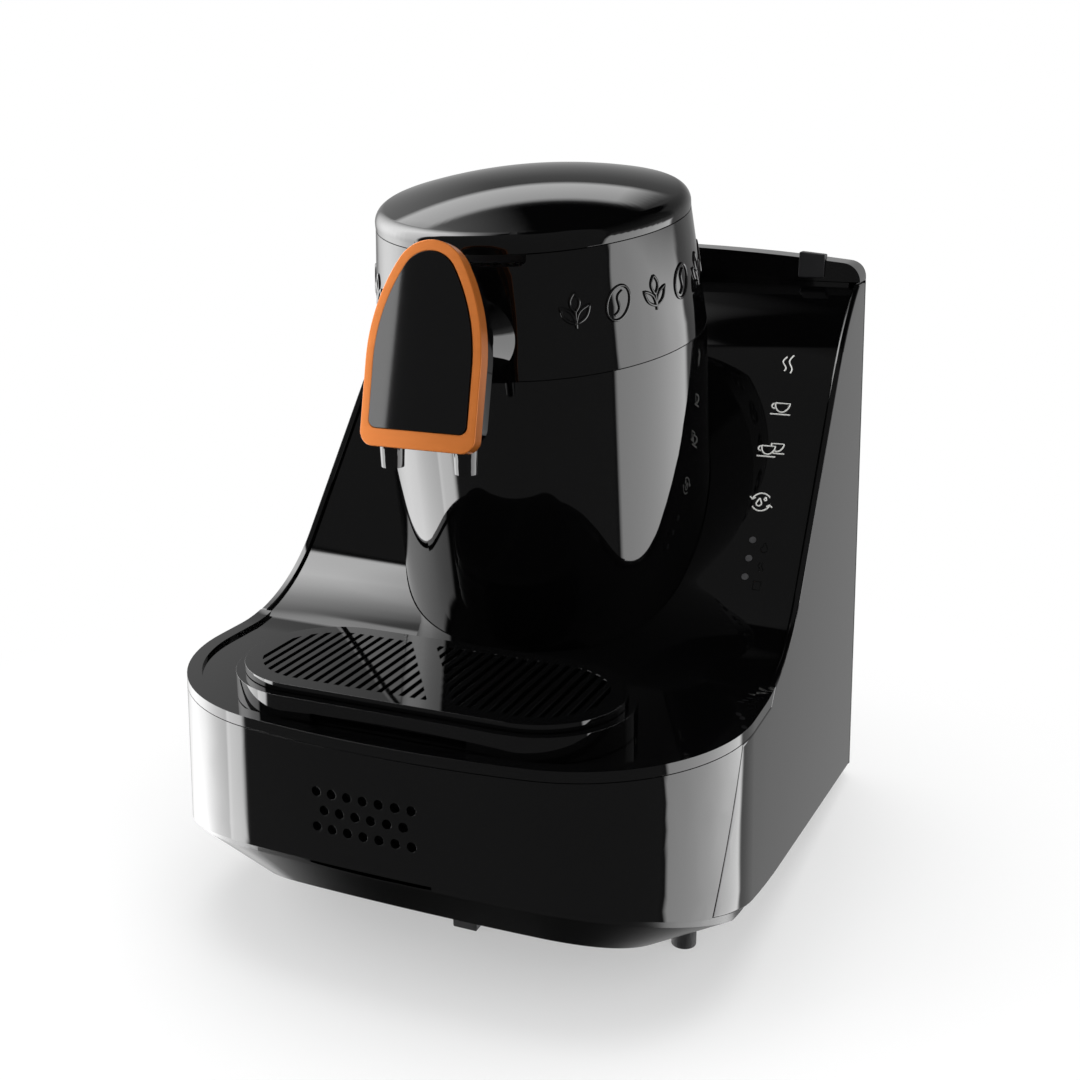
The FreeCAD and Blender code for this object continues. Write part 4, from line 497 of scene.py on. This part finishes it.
BAND_START = 35
BAND_STEP = 15.2
BAND_PAIRS = 10
BAND_DROP = 22.7
BAND_SIZE = 13.5
BAND_LINE = 0.65
BAND_SPREAD = 2


def collar_band_group():
    """Repeats the strokes it is given round a leaning cone, and gives each a round profile."""
    tree = bpy.data.node_groups.new("collar band", "GeometryNodeTree")
    for title, kind, value in (("Geometry", "NodeSocketGeometry", None), ("Repeats", "NodeSocketInt", 1),
                               ("Step", "NodeSocketFloat", 0.5), ("Start", "NodeSocketFloat", 0.0),
                               ("Base Radius", "NodeSocketFloat", 0.065),
                               ("Flare", "NodeSocketFloat", 0.1), ("Lean", "NodeSocketFloat", 0.0),
                               ("Foot", "NodeSocketVector", None), ("Drop", "NodeSocketFloat", 0.02),
                               ("Line Radius", "NodeSocketFloat", 0.0005),
                               ("Material", "NodeSocketMaterial", None)):
        socket = tree.interface.new_socket(title, in_out="INPUT", socket_type=kind)
        if value is not None:
            socket.default_value = value
    tree.interface.new_socket("Geometry", in_out="OUTPUT", socket_type="NodeSocketGeometry")
    given = tree.nodes.new("NodeGroupInput").outputs
    result = tree.nodes.new("NodeGroupOutput")
    dense = add_node(tree, "GeometryNodeResampleCurve", {"mode": "LENGTH"}, Curve=given["Geometry"],
                     Length=0.0007)
    copies = add_node(tree, "GeometryNodeDuplicateElements", {"domain": "SPLINE"},
                      Geometry=dense.outputs[0], Amount=given["Repeats"])
    place = tree.nodes.new("GeometryNodeInputPosition").outputs[0]
    across, up, _ = add_node(tree, "ShaderNodeSeparateXYZ", Vector=place).outputs
    height = calculate(tree, "SUBTRACT", up, given["Drop"])
    radius = calculate(tree, "SUBTRACT", given["Base Radius"],
                       calculate(tree, "MULTIPLY", height, given["Flare"]))
    turn = calculate(tree, "ADD", given["Start"], calculate(tree, "MULTIPLY", given["Step"],
                                                            copies.outputs["Duplicate Index"]))
    turn = calculate(tree, "ADD", turn, calculate(tree, "DIVIDE", across, radius))
    side = calculate(tree, "MULTIPLY", radius, calculate(tree, "SINE", turn))
    front = calculate(tree, "MULTIPLY", radius, calculate(tree, "COSINE", turn))
    front = calculate(tree, "MULTIPLY", front, -1.0)
    upright = add_node(tree, "ShaderNodeCombineXYZ", X=side, Y=front, Z=height).outputs[0]
    leaned = add_node(tree, "ShaderNodeVectorRotate", {"rotation_type": "X_AXIS"}, Vector=upright,
                      Angle=given["Lean"]).outputs[0]
    moved = add_node(tree, "ShaderNodeVectorMath", {"operation": "ADD"}, _0=leaned,
                     _1=given["Foot"]).outputs[0]
    wrapped = add_node(tree, "GeometryNodeSetPosition", Geometry=copies.outputs["Geometry"],
                       Position=moved)
    profile = add_node(tree, "GeometryNodeCurvePrimitiveCircle", Resolution=8,
                       Radius=given["Line Radius"])
    ridge = add_node(tree, "GeometryNodeCurveToMesh", Curve=wrapped.outputs[0],
                     Profile_Curve=profile.outputs["Curve"], Fill_Caps=True)
    smooth = add_node(tree, "GeometryNodeSetShadeSmooth", Geometry=ridge.outputs[0])
    solid = add_node(tree, "GeometryNodeRealizeInstances", Geometry=smooth.outputs[0])
    finish = add_node(tree, "GeometryNodeSetMaterial", Geometry=solid.outputs[0],
                      Material=given["Material"])
    tree.links.new(finish.outputs[0], result.inputs[0])
    return tree


def collar_band():
    """Every other motif is a bean, with leaves between."""
    data = bpy.data.curves.new("band_strokes", "CURVE")
    data.dimensions = "3D"
    spread = math.radians(BAND_STEP) * (COLLAR_TOP_RADIUS + BAND_SPREAD)
    for stroke, closed in leaf_strokes(0, BAND_SIZE) + bean_strokes(spread, BAND_SIZE):
        line = data.splines.new("POLY")
        line.points.add(len(stroke) - 1)
        line.use_cyclic_u = closed
        for point, (across, up) in zip(line.points, stroke):
            point.co = (across * MM, up * MM, 0, 1)
    thing = bpy.data.objects.new("collar_band", data)
    bpy.context.scene.collection.objects.link(thing)
    group = collar_band_group()
    wrap = thing.modifiers.new("wrap", "NODES")
    wrap.node_group = group
    flare = (BARREL_RADIUS - COLLAR_TOP_RADIUS) / COLLAR_HEIGHT
    values = {
        "Repeats": BAND_PAIRS, "Step": math.radians(2 * BAND_STEP), "Start": math.radians(BAND_START),
        "Base Radius": COLLAR_TOP_RADIUS * MM, "Flare": flare, "Lean": BARREL_LEAN,
        "Foot": BARREL_BASE * MM, "Drop": BAND_DROP * MM, "Line Radius": BAND_LINE * MM,
        "Material": piano_black,
    }
    for item in group.interface.items_tree:
        if item.item_type == "SOCKET" and item.in_out == "INPUT" and item.name in values:
            wrap[item.identifier] = values[item.name]
    graph = bpy.context.evaluated_depsgraph_get()
    mesh = bpy.data.meshes.new_from_object(thing.evaluated_get(graph))
    bpy.data.objects.remove(thing)
    piece("collar_band", mesh, "housing", piano_black)


collar_band()


# Camera at the photograph's angle

CAMERA_PLACE = (0.23574, -0.54607, 0.32572)
CAMERA_AZIMUTH = math.radians(22.95)
CAMERA_ELEVATION = math.radians(16.32)
SENSOR_WIDTH = 36
LENS = 46.83

camera_data = bpy.data.cameras.new("camera")
camera_data.sensor_width = SENSOR_WIDTH
camera_data.lens = LENS
camera_data.clip_start = 0.01
camera_data.clip_end = 20
camera = bpy.data.objects.new("camera", camera_data)
bpy.context.scene.collection.objects.link(camera)
camera.location = CAMERA_PLACE
back = Vector((math.sin(CAMERA_AZIMUTH) * math.cos(CAMERA_ELEVATION),
               -math.cos(CAMERA_AZIMUTH) * math.cos(CAMERA_ELEVATION), math.sin(CAMERA_ELEVATION)))
camera.rotation_mode = "QUATERNION"
camera.rotation_quaternion = (-back).to_track_quat("-Z", "Y")
bpy.context.scene.camera = camera


# Pale floor and soft studio light

FLOOR_HALF = 4
SHADOW_REACH = (0.14, 0.42)
FLOOR_GLOW = (0.42, 1.0)
TENT_RADIUS = 3


def emission_material(name):
    material = bpy.data.materials.new(name)
    material.use_nodes = True
    tree = material.node_tree
    tree.nodes.remove(tree.nodes["Principled BSDF"])
    place = tree.nodes.new("ShaderNodeTexCoord").outputs["Object"]
    return material, tree, tree.nodes["Material Output"], place


def floor_material():
    material, tree, output, place = emission_material("pale floor")
    length = add_node(tree, "ShaderNodeVectorMath", {"operation": "LENGTH"}, _0=place)
    far = add_node(tree, "ShaderNodeMapRange", {"clamp": True}, Value=length.outputs["Value"],
                   From_Min=SHADOW_REACH[0], From_Max=SHADOW_REACH[1],
                   To_Min=FLOOR_GLOW[0], To_Max=FLOOR_GLOW[1])
    rays = tree.nodes.new("ShaderNodeLightPath").outputs["Is Camera Ray"]
    share = calculate(tree, "MULTIPLY", far.outputs[0], rays)
    matt = add_node(tree, "ShaderNodeBsdfDiffuse", Color=(0.9, 0.9, 0.9, 1))
    glow = add_node(tree, "ShaderNodeEmission", Color=(1, 1, 1, 1), Strength=1.0)
    mix = add_node(tree, "ShaderNodeMixShader", _0=share, _1=matt.outputs[0], _2=glow.outputs[0])
    tree.links.new(mix.outputs[0], output.inputs["Surface"])
    return material


floor_mesh = bpy.data.meshes.new("floor")
corners = [(FLOOR_HALF * x, FLOOR_HALF * y, 0) for x, y in ((-1, -1), (1, -1), (1, 1), (-1, 1))]
floor_mesh.from_pydata(corners, [], [(0, 1, 2, 3)])
floor = bpy.data.objects.new("floor", floor_mesh)
bpy.context.scene.collection.objects.link(floor)
paint(floor, floor_material())
floor.visible_glossy = False


TENT_BRIGHTNESS = 9.5
LEFT_BOX = ((-150, 0.0), (-136, 0.06), (-120, 0.35), (-105, 0.72), (-92, 1.0), (-67, 1.0), (-64.5, 0.0))
LEFT_RISE = ((-48, 0.0), (-41, 0.9), (-20, 0.62), (0, 0.66), (15, 0.85), (50, 1.0), (60, 0.9),
             (69, 0.3), (76, 0.0))
RIGHT_BOX = ((74.5, 0.0), (77, 0.44), (120, 0.5), (137, 0.46), (141, 0.0))
RIGHT_RISE = ((-52, 0.0), (-44, 1.0), (2, 1.0), (7, 0.12), (20, 0.03), (60, 0.0))
REAR_BOX = ((-180, 0.044), (-150, 0.044), (-135, 0.0), (136, 0.0), (142, 0.044), (180, 0.044))
REAR_RISE = ((-60, 0.0), (-45, 1.0), (12, 1.0), (30, 0.5), (44, 0.4), (48, 0.0))
LOW_BOX = ((-67.5, 0.0), (-65, 0.85), (-54, 0.85), (-50.5, 0.0))
LOW_RISE = ((-48, 0.0), (-40, 1.0), (-12, 1.0), (-7, 0.0))
TOP_BOX = ((-171, 0.0), (-166, 0.17), (-136, 0.19), (-131, 0.0))
TOP_RISE = ((34.5, 0.0), (36.5, 1.0), (44.5, 1.0), (46.5, 0.0))
FRONT_BOX = ((-64, 0.0), (-60, 0.016), (72, 0.016), (77, 0.0))
FRONT_RISE = ((-52, 0.0), (-46, 1.0), (78, 1.0), (84, 0.0))


def tent_material():
    """Soft boxes on a dark tent, by bearing and rise, seen only in reflections."""
    material, tree, output, place = emission_material("light tent")
    x, y, z = add_node(tree, "ShaderNodeSeparateXYZ", Vector=place).outputs
    turn = calculate(tree, "ARCTAN2", x, calculate(tree, "MULTIPLY", y, -1.0))
    turn = calculate(tree, "ADD", calculate(tree, "DIVIDE", turn, 2 * math.pi), 0.5)
    length = add_node(tree, "ShaderNodeVectorMath", {"operation": "LENGTH"}, _0=place)
    rise = calculate(tree, "ARCSINE", calculate(tree, "DIVIDE", z, length.outputs["Value"]))
    rise = calculate(tree, "ADD", calculate(tree, "DIVIDE", rise, math.pi), 0.5)

    def level(factor, stops, whole):
        return ramp(tree, factor, [(angle / whole + 0.5, (value,)) for angle, value in stops])

    total = 0.0
    for box, climb in ((LEFT_BOX, LEFT_RISE), (RIGHT_BOX, RIGHT_RISE), (REAR_BOX, REAR_RISE),
                       (LOW_BOX, LOW_RISE), (TOP_BOX, TOP_RISE), (FRONT_BOX, FRONT_RISE)):
        share = calculate(tree, "MULTIPLY", level(turn, box, 360), level(rise, climb, 180))
        total = calculate(tree, "ADD", share, total)
    glow = add_node(tree, "ShaderNodeEmission", Strength=calculate(tree, "MULTIPLY", total,
                                                                   TENT_BRIGHTNESS))
    tree.links.new(glow.outputs[0], output.inputs["Surface"])
    return material


tent_mesh = bpy.data.meshes.new("light_tent")
shape = bmesh.new()
bmesh.ops.create_uvsphere(shape, u_segments=48, v_segments=24, radius=TENT_RADIUS)
bmesh.ops.reverse_faces(shape, faces=shape.faces)
shape.to_mesh(tent_mesh)
shape.free()
tent = bpy.data.objects.new("light_tent", tent_mesh)
bpy.context.scene.collection.objects.link(tent)
paint(tent, tent_material())
tent.visible_camera = False
tent.visible_diffuse = False
tent.visible_shadow = False
tent.visible_transmission = True


LIGHT_AIM = Vector((0, 0, 0.12))
CARD_TOP = Vector((-0.721, -1.324, 0.756))
CARD_FOOT = Vector((-0.733, -1.395, 0.476))
CARD_AIM = Vector((-0.012, -0.096, 0.25))
CARD_SIZE = (0.8, 2.0)
CARD_BRIGHTNESS = 4.2
SHADE_FILL = 0.6


def soft_box(name, place, size, energy):
    data = bpy.data.lights.new(name, "AREA")
    data.shape = "RECTANGLE"
    data.size, data.size_y = size
    data.energy = energy
    lamp = bpy.data.objects.new(name, data)
    bpy.context.scene.collection.objects.link(lamp)
    lamp.location = place
    lamp.rotation_euler = (LIGHT_AIM - lamp.location).to_track_quat("-Z", "Y").to_euler()
    lamp.visible_glossy = False


def panel_card():
    """A tall card beside the camera, which only the spout's panel and its frame reflect."""
    middle = (CARD_TOP + CARD_FOOT) / 2
    edge = (CARD_TOP - CARD_FOOT).normalized()
    toward = (CARD_AIM - middle).normalized()
    left = toward.cross(edge).normalized()
    width, height = CARD_SIZE
    data = bpy.data.lights.new("panel_card", "AREA")
    data.shape = "RECTANGLE"
    data.size, data.size_y = width, height
    data.energy = CARD_BRIGHTNESS * math.pi * width * height
    card = bpy.data.objects.new("panel_card", data)
    bpy.context.scene.collection.objects.link(card)
    side = -left if left.x > 0 else left
    turn = Matrix((edge.cross(-toward), edge, -toward)).transposed()
    card.matrix_world = Matrix.Translation(middle + side * width / 2) @ turn.to_4x4()
    mirrors = bpy.data.collections.new("panel card mirrors")
    for thing in (frame_piece, panel_piece):
        mirrors.objects.link(thing)
    card.light_linking.receiver_collection = mirrors


panel_card()
soft_box("left_soft_box", (-1.5, -0.9, 1.1), (1.2, 1.6), 14)
soft_box("right_soft_box", (1.6, -0.8, 1.2), (1.2, 1.6), 12)
soft_box("top_soft_box", (0, 0.2, 2.1), (1.8, 1.8), 22)

world = bpy.data.worlds.new("studio")
bpy.context.scene.world = world
world.use_nodes = True
tree = world.node_tree
rays = tree.nodes.new("ShaderNodeLightPath").outputs
seen = calculate(tree, "ADD", rays["Is Camera Ray"], rays["Is Glossy Ray"])
seen = calculate(tree, "ADD", seen, rays["Is Transmission Ray"])
seen = calculate(tree, "MINIMUM", seen, 1.0)
strength = add_node(tree, "ShaderNodeMapRange", {"clamp": True}, Value=seen,
                    To_Min=SHADE_FILL, To_Max=1.0)
background = tree.nodes["Background"]
background.inputs["Color"].default_value = (1, 1, 1, 1)
tree.links.new(strength.outputs[0], background.inputs["Strength"])

bpy.context.scene.view_settings.view_transform = "Standard"
